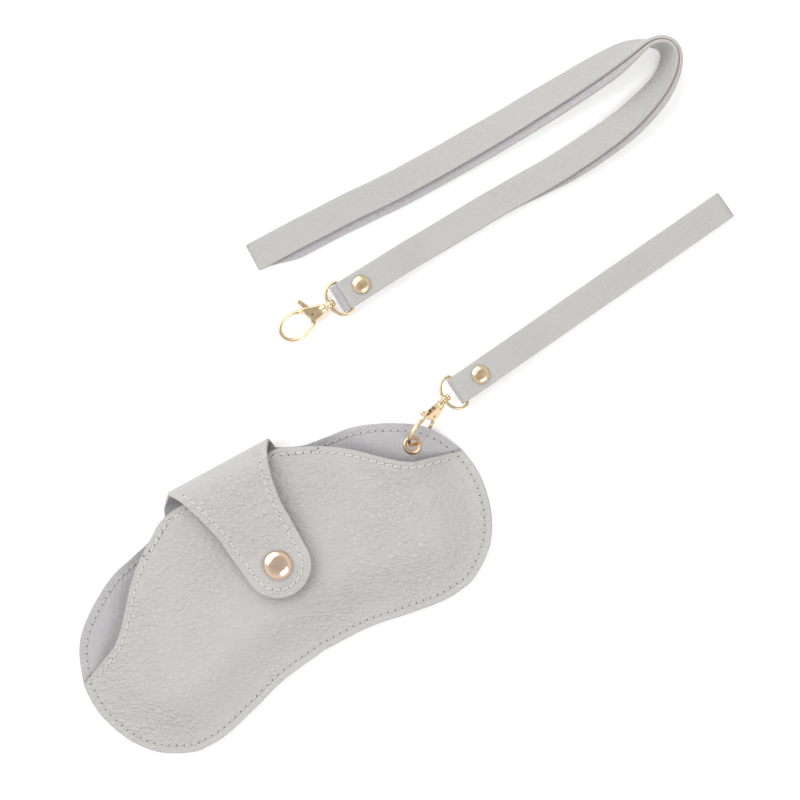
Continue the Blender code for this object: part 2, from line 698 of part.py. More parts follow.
def neck_strap():
    bar = bar_centre(NECK)
    samples = neck_route_line()
    length = samples[-1][0]
    pair_mid = sum(PAIR) / 2

    def frame_at(distance):
        k = 0
        while k < len(samples) - 2 and samples[k + 1][0] < distance:
            k += 1
        a, b = samples[k], samples[k + 1]
        t = (distance - a[0]) / (b[0] - a[0])
        x, y, roll = (a[i] * (1 - t) + b[i] * t for i in (1, 2, 3))
        before, after = samples[max(k - 1, 0)], samples[min(k + 2, len(samples) - 1)]
        tangent = Vector((after[1] - before[1], after[2] - before[2], 0)).normalized()
        return Vector((x, y, 0)), tangent, roll

    def route(distance, height, sideways):
        point, tangent, roll = frame_at(distance)
        outward = tangent.cross(Vector((0, 0, 1)))
        raised = math.cos(roll) * outward + math.sin(roll) * Vector((0, 0, 1))
        facing = -math.sin(roll) * outward + math.cos(roll) * Vector((0, 0, 1))
        rest = pair_mid * abs(math.cos(roll)) + STRAP_W / 2 * math.sin(roll)
        return point + Vector((0, 0, rest)) + facing * (height - pair_mid) + raised * sideways

    def peek(distance, layer):
        """Sideways shift that lets the under layer show beside the upper one."""
        most, start, whole, fade, gone = LOWER_PEEK if layer == 1 else UPPER_PEEK
        share = distance / length
        return most * ease((share - start) / (whole - start)) * (1 - ease((share - fade) / (gone - fade)))

    strip = []
    over = bar.z + WRAP_R
    for s in [-NECK_OVERHANG, 0, 2 * MM, 4 * MM, *run(7 * MM, length, STRAP_STEP)]:
        top_rise = (over + LAYER - STACK[2]) * (1 - ease((s - 1 * MM) / NECK_NEAR))
        strip.append((s, stack_height(2, s) + top_rise, peek(s, 2)))
    strip += [(s, z, 0) for s, z in far_fold(length)]
    for s in [*run(length, 7 * MM, STRAP_STEP), 5 * MM, 3 * MM, 1.5 * MM]:
        strip.append((s, stack_height(1, s) + (over - STACK[1]) * (1 - ease(s / NECK_NEAR)), peek(s, 1)))
    strip += [(s, z, 0) for s, z in half_turn(bar.z, NECK_NOSE, TURN_STEPS)]
    for s in run(2 * MM, TAIL, STRAP_STEP / 2):
        strip.append((s, STACK[0] + (bar.z - WRAP_R - STACK[0]) * (1 - ease(s / NECK_NEAR)), 0))
    spot = route(NECK_RIVET, 0, 0)
    strap_band("neck_strap_band", strip, route, spot.xy)
    rivet("neck_strap", spot.xy)


clear_scene()
PARTS = collection("soft_pouch_glasses_case")
CUTTERS = collection("cutters")
SEWN = half_line(LOWER_HALF) + [point for point in half_line(UPPER_HALF)[1:] if point.y < SEWN_TOP_Y]
back_panel()
front_panel()
flap_fold()
closure_flap()
perimeter_stitching()
mouth_stitching()
flap_stitching()
snap()
eyelet()
clasp(WRIST)
clasp(NECK)
wrist_strap()
neck_strap()
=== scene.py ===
"""Looks of the soft pouch glasses case: leather sheets, stitches, straps and plated hardware."""

import bisect
import math
import random

import bmesh
import bpy
from mathutils import Matrix, Vector, noise
from mathutils.bvhtree import BVHTree
from mathutils.geometry import delaunay_2d_cdt
from mathutils.kdtree import KDTree


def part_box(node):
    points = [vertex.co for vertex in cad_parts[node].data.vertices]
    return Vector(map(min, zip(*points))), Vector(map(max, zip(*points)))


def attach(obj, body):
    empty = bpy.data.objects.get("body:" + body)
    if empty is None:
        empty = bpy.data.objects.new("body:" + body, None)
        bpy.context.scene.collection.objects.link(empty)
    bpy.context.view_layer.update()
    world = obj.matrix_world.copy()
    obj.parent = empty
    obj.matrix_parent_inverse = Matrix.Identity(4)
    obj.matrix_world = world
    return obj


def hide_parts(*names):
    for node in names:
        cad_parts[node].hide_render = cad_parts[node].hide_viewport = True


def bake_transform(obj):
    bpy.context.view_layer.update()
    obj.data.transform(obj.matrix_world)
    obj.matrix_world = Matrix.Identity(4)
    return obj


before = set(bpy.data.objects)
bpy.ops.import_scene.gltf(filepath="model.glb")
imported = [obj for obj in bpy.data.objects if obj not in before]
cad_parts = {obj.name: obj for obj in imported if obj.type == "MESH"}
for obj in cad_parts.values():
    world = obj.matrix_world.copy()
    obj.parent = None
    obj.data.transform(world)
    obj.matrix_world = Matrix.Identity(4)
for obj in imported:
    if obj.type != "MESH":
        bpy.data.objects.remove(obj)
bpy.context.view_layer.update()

MM = 0.001
UP = Vector((0, 0, 1))

# The camera's right and upward directions over the table
RIGHT = Vector((0.8504, -0.5262, 0))
FORWARD = Vector((0.5262, 0.8504, 0))

# The CAD model's leather, in metres unless a list says mm
LEATHER = 1.4 * MM
GAP = 0.3 * MM
LOWER_HALF = [(0, -30.7), (20.1, -32.3), (34.5, -35.6), (50.2, -38.8), (58.9, -39), (66.5, -37.6),
              (77.9, -30.5), (85.4, -20.2), (89.4, -8.3), (90.3, 0)]
UPPER_HALF = [(90.3, 0), (88.7, 10.5), (82.1, 23.4), (71.5, 32.1), (57.7, 39), (46.1, 41.5),
              (36.4, 43.5), (29.1, 47), (26, 49)]
MOUTH_HALF = [(0, 48.6), (24, 48.4), (35, 43.8), (49, 34.5), (63, 20.6), (70, 15), (77, 12.5), (88.3, 8.5)]
ROOT_Y = 49 * MM
ROOT_HALF = 26 * MM
PERIMETER_INSET = 3 * MM
MOUTH_INSET = 2.4 * MM
FLAP_INSET = 3.4 * MM
BULGE = 5.5 * MM
BULGE_REACH = 21 * MM
SEWN_MARGIN = 4 * MM
MOUTH_RISE = 2.2 * MM
SHOULDER_LIFT = 3.3 * MM
SHOULDER_CENTRE = (74 * MM, 30 * MM)
SHOULDER_FLAT = 12.5 * MM
SHOULDER_END = 28 * MM
FLAP_X = 3 * MM
FOLD_SKEW = 0.057
FLAP_EDGE = [(54, 22.6), (48.7, 19.5), (41, 17), (30, 14.7), (21, 14.2), (8.6, 13.4)]
FLAP_SIDE = [(49, 0.7), (52, 1.6), (53.7, 4), (54, 7.25), (53.6, 11.5), (51, 14.6), (44, 15.8), (30, 15),
             (18, 13.6), (9, 13.3)]
TONGUE_R = 13.4 * MM
TONGUE_Z = 13.3 * MM
STRAP_W = 11.6 * MM
LAYER = LEATHER + GAP
STACK = [1.55 * MM, 1.55 * MM + LAYER, 1.55 * MM + 2 * LAYER]
PAIR = [0.7 * MM, 0.7 * MM + LAYER]
WRAP_R = 0.65 * MM + 0.3 * MM + LEATHER / 2
SETTLE = (18 * MM, 42 * MM)
TAIL = 16 * MM
AT_BAR = 1.2 * MM
WRIST_RETURN = 5 * MM
STRIP_STEP = 1.3 * MM
WRIST_LENGTH = 129 * MM
# x and y in mm, and the strap's roll in degrees
NECK_ROUTE = [(80.6, 85.9, 0), (110, 86.1, 0), (154.8, 85.4, 4), (180.5, 84.4, 10), (205, 85, 20),
              (222, 87.4, 36), (235, 91.6, 52), (242.6, 97.6, 62), (243.6, 103.2, 75), (238.6, 107.6, 95),
              (229, 109.6, 125), (214, 110, 145), (190, 110.3, 160), (160, 111, 172), (125.4, 112.7, 178),
              (94.7, 115.7, 180), (59.6, 118.2, 180)]
# How far one layer shows beside the other, then the shares of the strap's length where this starts,
# is whole, fades and is gone
LOWER_PEEK = (2 * MM, 0.2, 0.32, 0.4, 0.48)
UPPER_PEEK = (3.2 * MM, 0.47, 0.55, 0.95, 1)
NECK_OVERHANG = 0.4 * MM
NECK_NOSE = 3.1 * MM

# The CAD model's clasps, in mm and degrees
WRIST = {"name": "wrist", "swivel": (93.76, 29.36, 5.3), "heading": 21, "roll": 60,
         "ring_heading": 3, "rise": -11}
NECK = {"name": "neck", "swivel": (74.5, 85.9, 1.9), "heading": 0, "roll": 0,
        "ring_heading": 0, "rise": 5}
RING_CENTRE, RING_LONG, RING_WIDE, WIRE_R = 16, 6.5, 5.2, 0.75
PLATE = [(1.6, -1.7), (1.6, 1.7), (4, 2.4), (9.4, 4.5), (10.3, 4.2), (10.1, 1.6), (9.3, -0.8), (8.2, -2.9),
         (3, -2.1)]
GATE = [(7.2, -1.1), (8.3, -3.4), (10.2, -4.3), (15.6, -6.0), (15.9, -5.0), (10.6, -3.2), (9.3, -1.1),
        (8.9, 1.6), (9.0, 3.4), (10.6, 7.5), (10.0, 8.4), (8.9, 8.1), (7.3, 4.0), (6.3, 1.0)]
PIN_AT = (7.8, 0.4)
DRING_BAR, DRING_HALF, DRING_ARC, DRING_R = 7.4, 6.85, 4.8, 0.65

TONGUE_DROP = 1.6 * MM
DROP_FROM_Y = 4 * MM
DROP_REACH = 12 * MM
SKEW_FROM = (34 * MM, 0.7 * MM)
SKEW_REACH = (16 * MM, 5 * MM)
SNAP_HOLE_R = 1.6 * MM
EYELET_CUT_R = 3.05 * MM

# Sewing
PITCH = 3.3 * MM
PERIMETER_PITCH = 3 * MM
SLANT = 0.12
THREAD_R = 0.25 * MM
GROOVE = 0.22 * MM
SEAM_WIDTH = 0.9 * MM


# ---------------------------------------------------------------- curves and surfaces


def smooth_line(points, step):
    """A smooth curve through the points, as vectors about step apart (Catmull-Rom)."""
    points = [Vector(point) for point in points]
    ends = [2 * points[0] - points[1], *points, 2 * points[-1] - points[-2]]
    line = []
    for a, b, c, d in zip(ends, ends[1:], ends[2:], ends[3:]):
        count = max(1, round((c - b).length / step))
        for k in range(count):
            t = k / count
            line.append(0.5 * (2 * b + (c - a) * t + (2 * a - 5 * b + 4 * c - d) * t**2
                               + (3 * b - a - 3 * c + d) * t**3))
    return [*line, points[-1]]


def half_line(points, step=0.7):
    return [point * MM for point in smooth_line(points, step)]


def value_at(line, key, want, read):
    """Reads one coordinate of a line where another, which only rises or falls, has a given value."""
    for a, b in zip(line, line[1:]):
        low, high = sorted((a[key], b[key]))
        if low <= want <= high and a[key] != b[key]:
            t = (want - a[key]) / (b[key] - a[key])
            return a[read] * (1 - t) + b[read] * t
    return min(line, key=lambda point: abs(point[key] - want))[read]


def ease(t):
    t = min(max(t, 0), 1)
    return t * t * (3 - 2 * t)


def mirrored(half):
    """The full line from its right half, left end first."""
    return [Vector((-point.x, point.y)) for point in reversed(half[1:])] + list(half)


def back_lift(x, y):
    away = math.hypot(x - SHOULDER_CENTRE[0], y - SHOULDER_CENTRE[1])
    return SHOULDER_LIFT * (1 - ease((away - SHOULDER_FLAT) / (SHOULDER_END - SHOULDER_FLAT)))


def nearest(line, point):
    return min((other - point).length for other in line)


def wave(x, y, scale, seed):
    """Smooth noise in about -1..1 over the pouch's plane."""
    return noise.noise(Vector((x / scale, y / scale, seed)))


SEWN = half_line(LOWER_HALF) + [point for point in half_line(UPPER_HALF)[1:] if point.y < 9.5 * MM]
SEWN_COARSE = SEWN[::3]
MOUTH = half_line(MOUTH_HALF)


def front_underside(x, y):
    side = Vector((abs(x), y))
    inward = nearest(SEWN_COARSE, side)
    bulge = BULGE * ease((inward - SEWN_MARGIN) / BULGE_REACH)
    rise = MOUTH_RISE * ease((y - 15 * MM) / (30 * MM)) * math.exp(-((x / (45 * MM)) ** 2))
    return LEATHER + GAP + back_lift(x, y) + bulge + rise


def link(name, mesh, materials=()):
    obj = bpy.data.objects.new(name, mesh)
    bpy.context.scene.collection.objects.link(obj)
    for finish in materials:
        mesh.materials.append(finish)
    return obj


def applied(obj):
    """The object with its modifiers applied, as a plain mesh."""
    graph = bpy.context.evaluated_depsgraph_get()
    mesh = bpy.data.meshes.new_from_object(obj.evaluated_get(graph))
    if obj.type == "MESH":
        obj.modifiers.clear()
        obj.data = mesh
        return obj
    made = link(obj.name, mesh)
    made.matrix_world = obj.matrix_world
    bpy.data.objects.remove(obj, do_unlink=True)
    return made


class Pattern:
    """A flat leather pattern: an outline and round holes, filled with an even net of triangles."""

    RINGS = (0.4 * MM, 1.0 * MM, 1.8 * MM)

    def __init__(self, outline, holes=(), spacing=1.1 * MM):
        self.loops = [closed_evenly(outline, 0.62 * MM)]
        for centre, radius in holes:
            turns = [-2 * math.pi * k / 40 for k in range(40)]
            self.loops.append([Vector((centre[0] + radius * math.cos(a), centre[1] + radius * math.sin(a)))
                               for a in turns])
        self.rim = self.tree(self.loops)
        self.outer = self.tree(self.loops[:1])
        self.points = [point for loop in self.loops for point in loop]
        self.fill(spacing)
        self.net()

    @staticmethod
    def tree(loops):
        spots = [point for loop in loops for point in loop]
        tree = KDTree(len(spots))
        for k, point in enumerate(spots):
            tree.insert(point.to_3d(), k)
        tree.balance()
        return tree

    def from_rim(self, point):
        return self.rim.find(Vector((*point, 0)))[2]

    def from_outline(self, point):
        return self.outer.find(Vector((*point, 0)))[2]

    def fill(self, spacing):
        for loop in self.loops:
            for ring, depth in enumerate(self.RINGS):
                for k in range(0, len(loop), ring + 1):
                    ahead = (loop[(k + 1) % len(loop)] - loop[k - 1]).normalized()
                    point = loop[k] + Vector((-ahead.y, ahead.x)) * depth
                    if self.from_rim(point) > 0.94 * depth:
                        self.points.append(point)
        low = min(point.y for point in self.loops[0])
        high = max(point.y for point in self.loops[0])
        rows = math.ceil((high - low) / (spacing * 0.866))
        for row in range(1, rows):
            y = low + (high - low) * row / rows
            crossings = []
            for loop in self.loops:
                for a, b in zip(loop, loop[1:] + loop[:1]):
                    if (a.y > y) != (b.y > y):
                        crossings.append(a.x + (b.x - a.x) * (y - a.y) / (b.y - a.y))
            crossings.sort()
            for start, stop in zip(crossings[::2], crossings[1::2]):
                first = math.ceil(start / spacing - row % 2 / 2)
                last = math.floor(stop / spacing - row % 2 / 2)
                for k in range(first, last + 1):
                    point = Vector(((k + row % 2 / 2) * spacing, y))
                    if self.from_rim(point) > self.RINGS[-1] + 0.55 * spacing:
                        self.points.append(point)

    def net(self):
        edges, start, owner = [], 0, {}
        for number, loop in enumerate(self.loops):
            count = len(loop)
            edges += [(start + k, start + (k + 1) % count) for k in range(count)]
            owner.update({start + k: number for k in range(count)})
            start += count
        spots, _, faces, came_from, *_ = delaunay_2d_cdt(self.points, edges, [], 1, 1e-7)
        name_of = [origin[0] for origin in came_from]
        self.points = {name_of[k]: spot for k, spot in enumerate(spots)}
        self.faces = []
        for face in faces:
            a, b, c = (name_of[k] for k in face)
            holes = {owner.get(k, 0) for k in (a, b, c)}
            if len(holes) == 1 and holes != {0}:
                continue
            one, two, three = (self.points[k] for k in (a, b, c))
            self.faces.append((a, b, c) if (two - one).cross(three - one) > 0 else (a, c, b))

    def area(self):
        return sum(abs((self.points[b] - self.points[a]).cross(self.points[c] - self.points[a])) / 2
                   for a, b, c in self.faces)

    def size(self):
        xs, ys = ([point[i] for point in self.loops[0]] for i in (0, 1))
        return max(xs) - min(xs), max(ys) - min(ys)


def closed_evenly(outline, pitch):
    """Even points round a closed outline; its corners sharper than 40 degrees stay where they are."""
    count = len(outline)
    corners = [k for k in range(count) if turn_at(outline, k) > math.radians(40)] or [0]
    spots = []
    for a, b in zip(corners, corners[1:] + [corners[0] + count]):
        piece = [outline[k % count] for k in range(a, b + 1)]
        spots += evenly(piece, pitch)[:-1]
    return spots


def turn_at(outline, k):
    before, after = outline[k] - outline[k - 1], outline[(k + 1) % len(outline)] - outline[k]
    return before.angle(after)


def laid_sheet(name, pattern, place, finishes, sink=lambda u, v: 0, grain=lambda u, v: 1):
    """Lays a pattern along a surface: two faces a thickness apart, joined by a rounded cut edge.

    place gives a point's spot in the middle of the leather, sink how far a seam pulls both faces in there,
    and grain how strong the pebbles are. finishes are those of the upper face, the lower face and the edge.
    """
    names = sorted(pattern.points)
    index = {key: k for k, key in enumerate(names)}
    flat = [pattern.points[key] for key in names]
    faces = [tuple(index[key] for key in face) for face in pattern.faces]
    middle_mesh = bpy.data.meshes.new(name)
    middle_mesh.from_pydata([place(*point) for point in flat], [], faces)
    normals = [Vector(normal.vector) for normal in middle_mesh.vertex_normals]
    spots = [vert.co.copy() for vert in middle_mesh.vertices]
    bpy.data.meshes.remove(middle_mesh)

    half, count, round_r = LEATHER / 2, len(names), 0.3 * MM
    sunk = [half - sink(*point) for point in flat]
    upper = [spot + normal * deep for spot, normal, deep in zip(spots, normals, sunk)]
    lower = [spot - normal * deep for spot, normal, deep in zip(spots, normals, sunk)]
    strips, base = [], 0
    edge_points = []
    for loop in pattern.loops:
        ring = [index[base + k] for k in range(len(loop))]
        base += len(loop)
        rows = [[], []]
        for k, i in enumerate(ring):
            ahead = (spots[ring[(k + 1) % len(ring)]] - spots[ring[k - 1]]).normalized()
            outward = ahead.cross(normals[i]).normalized()
            upper[i] -= outward * round_r
            lower[i] -= outward * round_r
            for angle in (45, 0):
                in_by = outward * (round_r * (math.cos(math.radians(angle)) - 1))
                up_by = normals[i] * (sunk[i] - round_r * (1 - math.sin(math.radians(angle))))
                rows[0].append(spots[i] + in_by + up_by)
                rows[1].append(spots[i] + in_by - up_by)
        start = 2 * count + len(edge_points)
        edge_points += rows[0] + rows[1]
        size = 2 * len(ring)
        pairs = range(start, start + size, 2)
        bands = [ring, list(pairs), [k + 1 for k in pairs], [k + size + 1 for k in pairs],
                 [k + size for k in pairs], [count + i for i in ring]]
        for number, (above, below) in enumerate(zip(bands, bands[1:])):
            for k in range(len(ring)):
                after = (k + 1) % len(ring)
                strips.append((below[k], below[after], above[after], above[k], number))

    mesh = bpy.data.meshes.new(name)
    underside = [(count + a, count + c, count + b) for a, b, c in faces]
    shell = [*faces, *underside, *(strip[:4] for strip in strips)]
    mesh.from_pydata([*upper, *lower, *edge_points], [], shell)
    edge_finish = {0: 0, 4: 1}
    mesh.polygons.foreach_set("material_index", [0] * len(faces) + [1] * len(faces)
                              + [edge_finish.get(strip[4], 2) for strip in strips])
    strength = [grain(*point) for point in flat]
    layer = mesh.attributes.new("grain", "FLOAT", "POINT")
    layer.data.foreach_set("value", strength * 2 + [0.4] * len(edge_points))
    near_edge = [math.exp(-pattern.from_rim(point) / (1.1 * MM)) for point in flat]
    layer = mesh.attributes.new("edge", "FLOAT", "POINT")
    layer.data.foreach_set("value", near_edge * 2 + [1.0] * len(edge_points))
    mesh.shade_smooth()
    return link(name, mesh, finishes)


def cut(obj, cutter):
    modifier = obj.modifiers.new("cut", "BOOLEAN")
    modifier.object = cutter
    modifier.solver = "EXACT"
    applied(obj)
    bpy.data.objects.remove(cutter, do_unlink=True)


def cylinder(radius, depth, matrix):
    mesh = bpy.data.meshes.new("cutter")
    work = bmesh.new()
    bmesh.ops.create_cone(work, cap_ends=True, segments=48, radius1=radius, radius2=radius, depth=depth)
    work.to_mesh(mesh)
    work.free()
    obj = link("cutter", mesh)
    obj.matrix_world = matrix
    return obj


def at(x, y, z=0):
    return Matrix.Translation((x, y, z))


def middle(node):
    low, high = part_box(node)
    return (Vector(low) + Vector(high)) / 2


def heights(node):
    """A node's lowest and highest z, in mm."""
    return (corner[2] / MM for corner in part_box(node))


# ---------------------------------------------------------------- materials


class Paint:
    """Builds one Principled material from nodes, in object coordinates (metres)."""

    def __init__(self, name, roughness=0.5, metallic=0.0):
        self.material = bpy.data.materials.new(name)
        self.material.use_nodes = True
        self.tree = self.material.node_tree
        self.shader = self.tree.nodes["Principled BSDF"]
        self.shader.inputs["Roughness"].default_value = roughness
        self.shader.inputs["Metallic"].default_value = metallic
        self.where = self.node("ShaderNodeTexCoord").outputs["Object"]

    def node(self, kind, **settings):
        made = self.tree.nodes.new(kind)
        for key, value in settings.items():
            if key in made.inputs:
                made.inputs[key].default_value = value
            else:
                setattr(made, key, value)
        return made

    def join(self, a, b):
        self.tree.links.new(a, b)

    def attribute(self, name):
        return self.node("ShaderNodeAttribute", attribute_name=name).outputs["Fac"]

    def stretched(self, scale):
        made = self.node("ShaderNodeMapping")
        made.inputs["Scale"].default_value = scale
        self.join(self.where, made.inputs["Vector"])
        return made.outputs["Vector"]

    def noise(self, scale, detail=2.0, roughness=0.5, distortion=0.0, where=None):
        made = self.node("ShaderNodeTexNoise", Scale=scale, Detail=detail, Roughness=roughness,
                         Distortion=distortion)
        self.join(where or self.where, made.inputs["Vector"])
        return made

    def math(self, operation, a, b):
        made = self.node("ShaderNodeMath", operation=operation)
        for socket, value in zip(made.inputs, (a, b)):
            if isinstance(value, (int, float)):
                socket.default_value = value
            else:
                self.join(value, socket)
        return made.outputs[0]

    def span(self, value, low, high, to_low=0.0, to_high=1.0):
        made = self.node("ShaderNodeMapRange", interpolation_type="SMOOTHSTEP")
        self.join(value, made.inputs["Value"])
        for name, number in zip(("From Min", "From Max", "To Min", "To Max"), (low, high, to_low, to_high)):
            made.inputs[name].default_value = number
        return made.outputs["Result"]

    def mix(self, share, a, b):
        made = self.node("ShaderNodeMix", data_type="RGBA")
        for socket, value in ((made.inputs["Factor"], share), (made.inputs[6], a), (made.inputs[7], b)):
            if isinstance(value, (int, float)):
                socket.default_value = value
            elif isinstance(value, tuple):
                socket.default_value = (*value, 1)
            else:
                self.join(value, socket)
        return made.outputs[2]

    def colour(self, output):
        self.join(output, self.shader.inputs["Base Color"])

    def roughness(self, output):
        self.join(output, self.shader.inputs["Roughness"])

    def bump(self, height, distance, strength):
        made = self.node("ShaderNodeBump", Strength=strength, Distance=distance)
        self.join(height, made.inputs["Height"])
        self.join(made.outputs["Normal"], self.shader.inputs["Normal"])


def grain_leather(name, low, high, pebble_scale):
    """Pale grey leather with a litchi grain: long soft pebbles, wrinkles across them, tiny pores."""
    paint = Paint(name, 0.5)
    grain = paint.attribute("grain")
    edge = paint.attribute("edge")
    lay = paint.node("ShaderNodeMapping", vector_type="TEXTURE")
    lay.inputs["Rotation"].default_value = (0, 0, math.atan2(RIGHT.y, RIGHT.x))
    lay.inputs["Scale"].default_value = (1.75, 1.0, 1.0)
    paint.join(paint.where, lay.inputs["Vector"])
    warp = paint.noise(360, 3, 0.55)
    shifted = paint.node("ShaderNodeVectorMath", operation="MULTIPLY_ADD")
    paint.join(warp.outputs["Color"], shifted.inputs[0])
    shifted.inputs[1].default_value = (0.0016, 0.0022, 0.0022)
    paint.join(lay.outputs["Vector"], shifted.inputs[2])
    pebbles = paint.node("ShaderNodeTexVoronoi", feature="SMOOTH_F1", Scale=pebble_scale)
    pebbles.inputs["Smoothness"].default_value = 0.5
    creases = paint.node("ShaderNodeTexVoronoi", feature="DISTANCE_TO_EDGE", Scale=pebble_scale)
    small = paint.node("ShaderNodeTexVoronoi", feature="SMOOTH_F1", Scale=2.4 * pebble_scale)
    for cells in (pebbles, creases, small):
        paint.join(shifted.outputs[0], cells.inputs["Vector"])
    dome = paint.span(pebbles.outputs["Distance"], 0.75, 0.05)
    crease = paint.span(creases.outputs["Distance"], 0.0, 0.34)
    wrinkle = paint.noise(0.9 * pebble_scale, 2, 0.5, 0.4, lay.outputs["Vector"]).outputs["Fac"]
    fine = paint.span(small.outputs["Distance"], 0.8, 0.1)
    patches = paint.noise(30, 3).outputs["Fac"]
    bold = paint.math("MULTIPLY", paint.span(patches, 0.3, 0.68, 0.4, 1.0), grain)
    pebble = paint.math("ADD", paint.math("MULTIPLY", dome, 0.6), paint.math("MULTIPLY", crease, 0.36))
    pebble = paint.math("ADD", pebble, paint.math("MULTIPLY", wrinkle, 0.9))
    relief = paint.math("ADD", paint.math("MULTIPLY", pebble, bold), paint.math("MULTIPLY", fine, 0.16))
    pores = paint.noise(5200, 2).outputs["Fac"]
    height = paint.math("ADD", relief, paint.math("MULTIPLY", pores, 0.05))
    cloud = paint.noise(14, 3).outputs["Fac"]
    base = paint.mix(cloud, low, high)
    # Painted shade: the creases between the pebbles are darkened in the base colour, more where the grain is
    # bold.
    painted_crease_shade = paint.math("MULTIPLY", paint.span(crease, 0.0, 0.9, 0.16, 0.0), bold)
    base = paint.mix(painted_crease_shade, base, (0.30, 0.29, 0.28))
    base = paint.mix(paint.math("MULTIPLY", edge, 0.2), base, (0.55, 0.54, 0.52))
    paint.colour(base)
    paint.roughness(paint.span(relief, 0.0, 1.1, 0.64, 0.46))
    paint.bump(height, 0.00044, 0.9)
    return paint.material


def suede():
    """The lilac-grey flesh side: short nap in soft clumps, with darker and lighter fibres."""
    paint = Paint("suede", 0.95)
    cloud = paint.noise(120, 4, 0.6).outputs["Fac"]
    clumps = paint.noise(1100, 4, 0.75, 0.4).outputs["Fac"]
    nap = paint.noise(3000, 3, 0.7).outputs["Fac"]
    fibres = paint.noise(1400, 5, 0.75, 2.0, paint.stretched((1.0, 2.6, 1.0))).outputs["Fac"]
    base = paint.mix(cloud, (0.545, 0.515, 0.538), (0.635, 0.605, 0.625))
    base = paint.mix(paint.span(clumps, 0.35, 0.62, 0.0, 0.42), base, (0.74, 0.715, 0.735))
    base = paint.mix(paint.span(fibres, 0.50, 0.66, 0.0, 0.45), base, (0.37, 0.35, 0.372))
    base = paint.mix(paint.span(nap, 0.4, 0.75, 0.0, 0.35), base, (0.76, 0.735, 0.755))
    paint.colour(base)
    paint.shader.inputs["Sheen Weight"].default_value = 0.3
    paint.shader.inputs["Sheen Roughness"].default_value = 0.6
    paint.shader.inputs["Specular IOR Level"].default_value = 0.2
    height = paint.math("ADD", paint.math("MULTIPLY", clumps, 1.6), paint.math("ADD", nap, fibres))
    paint.bump(height, 0.0004, 1.0)
    return paint.material


def cut_edge():
    """The raw cut edge: pressed fibres between the grain and the suede."""
    paint = Paint("cut_edge", 0.8)
    fibres = paint.noise(3200, 4, 0.7).outputs["Fac"]
    base = paint.mix(fibres, (0.42, 0.39, 0.355), (0.60, 0.57, 0.53))
    paint.colour(base)
    paint.bump(fibres, 0.0002, 0.6)
    return paint.material


def thread(name, low, high):
    """Waxed polyester thread."""
    paint = Paint(name, 0.6)
    fuzz = paint.noise(6000, 2).outputs["Fac"]
    paint.colour(paint.mix(fuzz, low, high))
    paint.shader.inputs["Sheen Weight"].default_value = 0.2
    paint.bump(fuzz, 0.00006, 0.6)
    return paint.material


# Flat near-black discs laid at the needle holes: painted shade standing in for the shade inside each hole.
def needle_hole_shade():
    paint = Paint("needle_hole_shade", 0.9)
    fuzz = paint.noise(5000, 2).outputs["Fac"]
    paint.colour(paint.mix(fuzz, (0.10, 0.097, 0.095), (0.18, 0.175, 0.17)))
    paint.bump(fuzz, 0.00005, 0.5)
    return paint.material


def plating(name, low, high, roughness):
    """Polished plating: slight tint changes, hairline scratches and faint handling haze."""
    paint = Paint(name, roughness, 1.0)
    haze = paint.noise(420, 2, 0.5).outputs["Fac"]
    hairlines = paint.noise(1500, 3, 0.7, 0.6, paint.stretched((1.0, 9.0, 4.0))).outputs["Fac"]
    paint.colour(paint.mix(haze, low, high))
    shine = paint.math("ADD", paint.span(haze, 0.3, 0.75, roughness - 0.05, roughness + 0.09),
                       paint.span(hairlines, 0.6, 0.75, 0.0, 0.06))
    paint.roughness(shine)
    paint.bump(haze, 0.00004, 0.15)
    return paint.material


LEATHER_GRAIN = grain_leather("litchi_leather", (0.468, 0.462, 0.446), (0.500, 0.494, 0.478), 600.0)
STRAP_GRAIN = grain_leather("strap_leather", (0.445, 0.441, 0.426), (0.473, 0.468, 0.453), 800.0)
SUEDE = suede()
CUT_EDGE = cut_edge()
# Painted shade: the perimeter thread is the pale thread darkened, for its seam sunk in the groove.
SHADED_THREAD = thread("shaded_thread", (0.48, 0.47, 0.455), (0.58, 0.57, 0.55))
PALE_THREAD = thread("pale_thread", (0.60, 0.59, 0.565), (0.72, 0.71, 0.68))
HOLE_SHADE = needle_hole_shade()
PALE_GOLD = plating("pale_gold", (0.72, 0.54, 0.33), (0.82, 0.65, 0.42), 0.2)
WARM_GOLD = plating("warm_gold", (0.68, 0.47, 0.29), (0.78, 0.57, 0.37), 0.18)
ROSE_GOLD = plating("rose_gold", (0.82, 0.60, 0.44), (0.90, 0.70, 0.54), 0.12)
# Painted shade: the pivot pin's plating is darkened to stand in for the shade in the dimple it sits in.
PIN_PAINTED_SHADE = plating("pin_painted_shade", (0.20, 0.15, 0.10), (0.28, 0.22, 0.15), 0.35)
NICKEL = plating("nickel", (0.56, 0.56, 0.55), (0.66, 0.66, 0.65), 0.24)


# ---------------------------------------------------------------- leather panels


def flap_profile():
    """Side view of the flap's middle, from its root round the fold to the tip: (length so far, y, z)."""
    points = [point * MM for point in smooth_line(FLAP_SIDE, 0.5)]
    snap_y = middle("snap_cap").y
    tip = snap_y - TONGUE_R
    y = points[-1].x
    while y > tip - 1 * MM:
        y -= 0.5 * MM
        points.append(Vector((y, TONGUE_Z - TONGUE_DROP * ease((DROP_FROM_Y - y) / DROP_REACH))))
    table, length = [(0, *points[0])], 0
    for a, b in zip(points, points[1:]):
        length += (b - a).length
        table.append((length, *b))
    return table


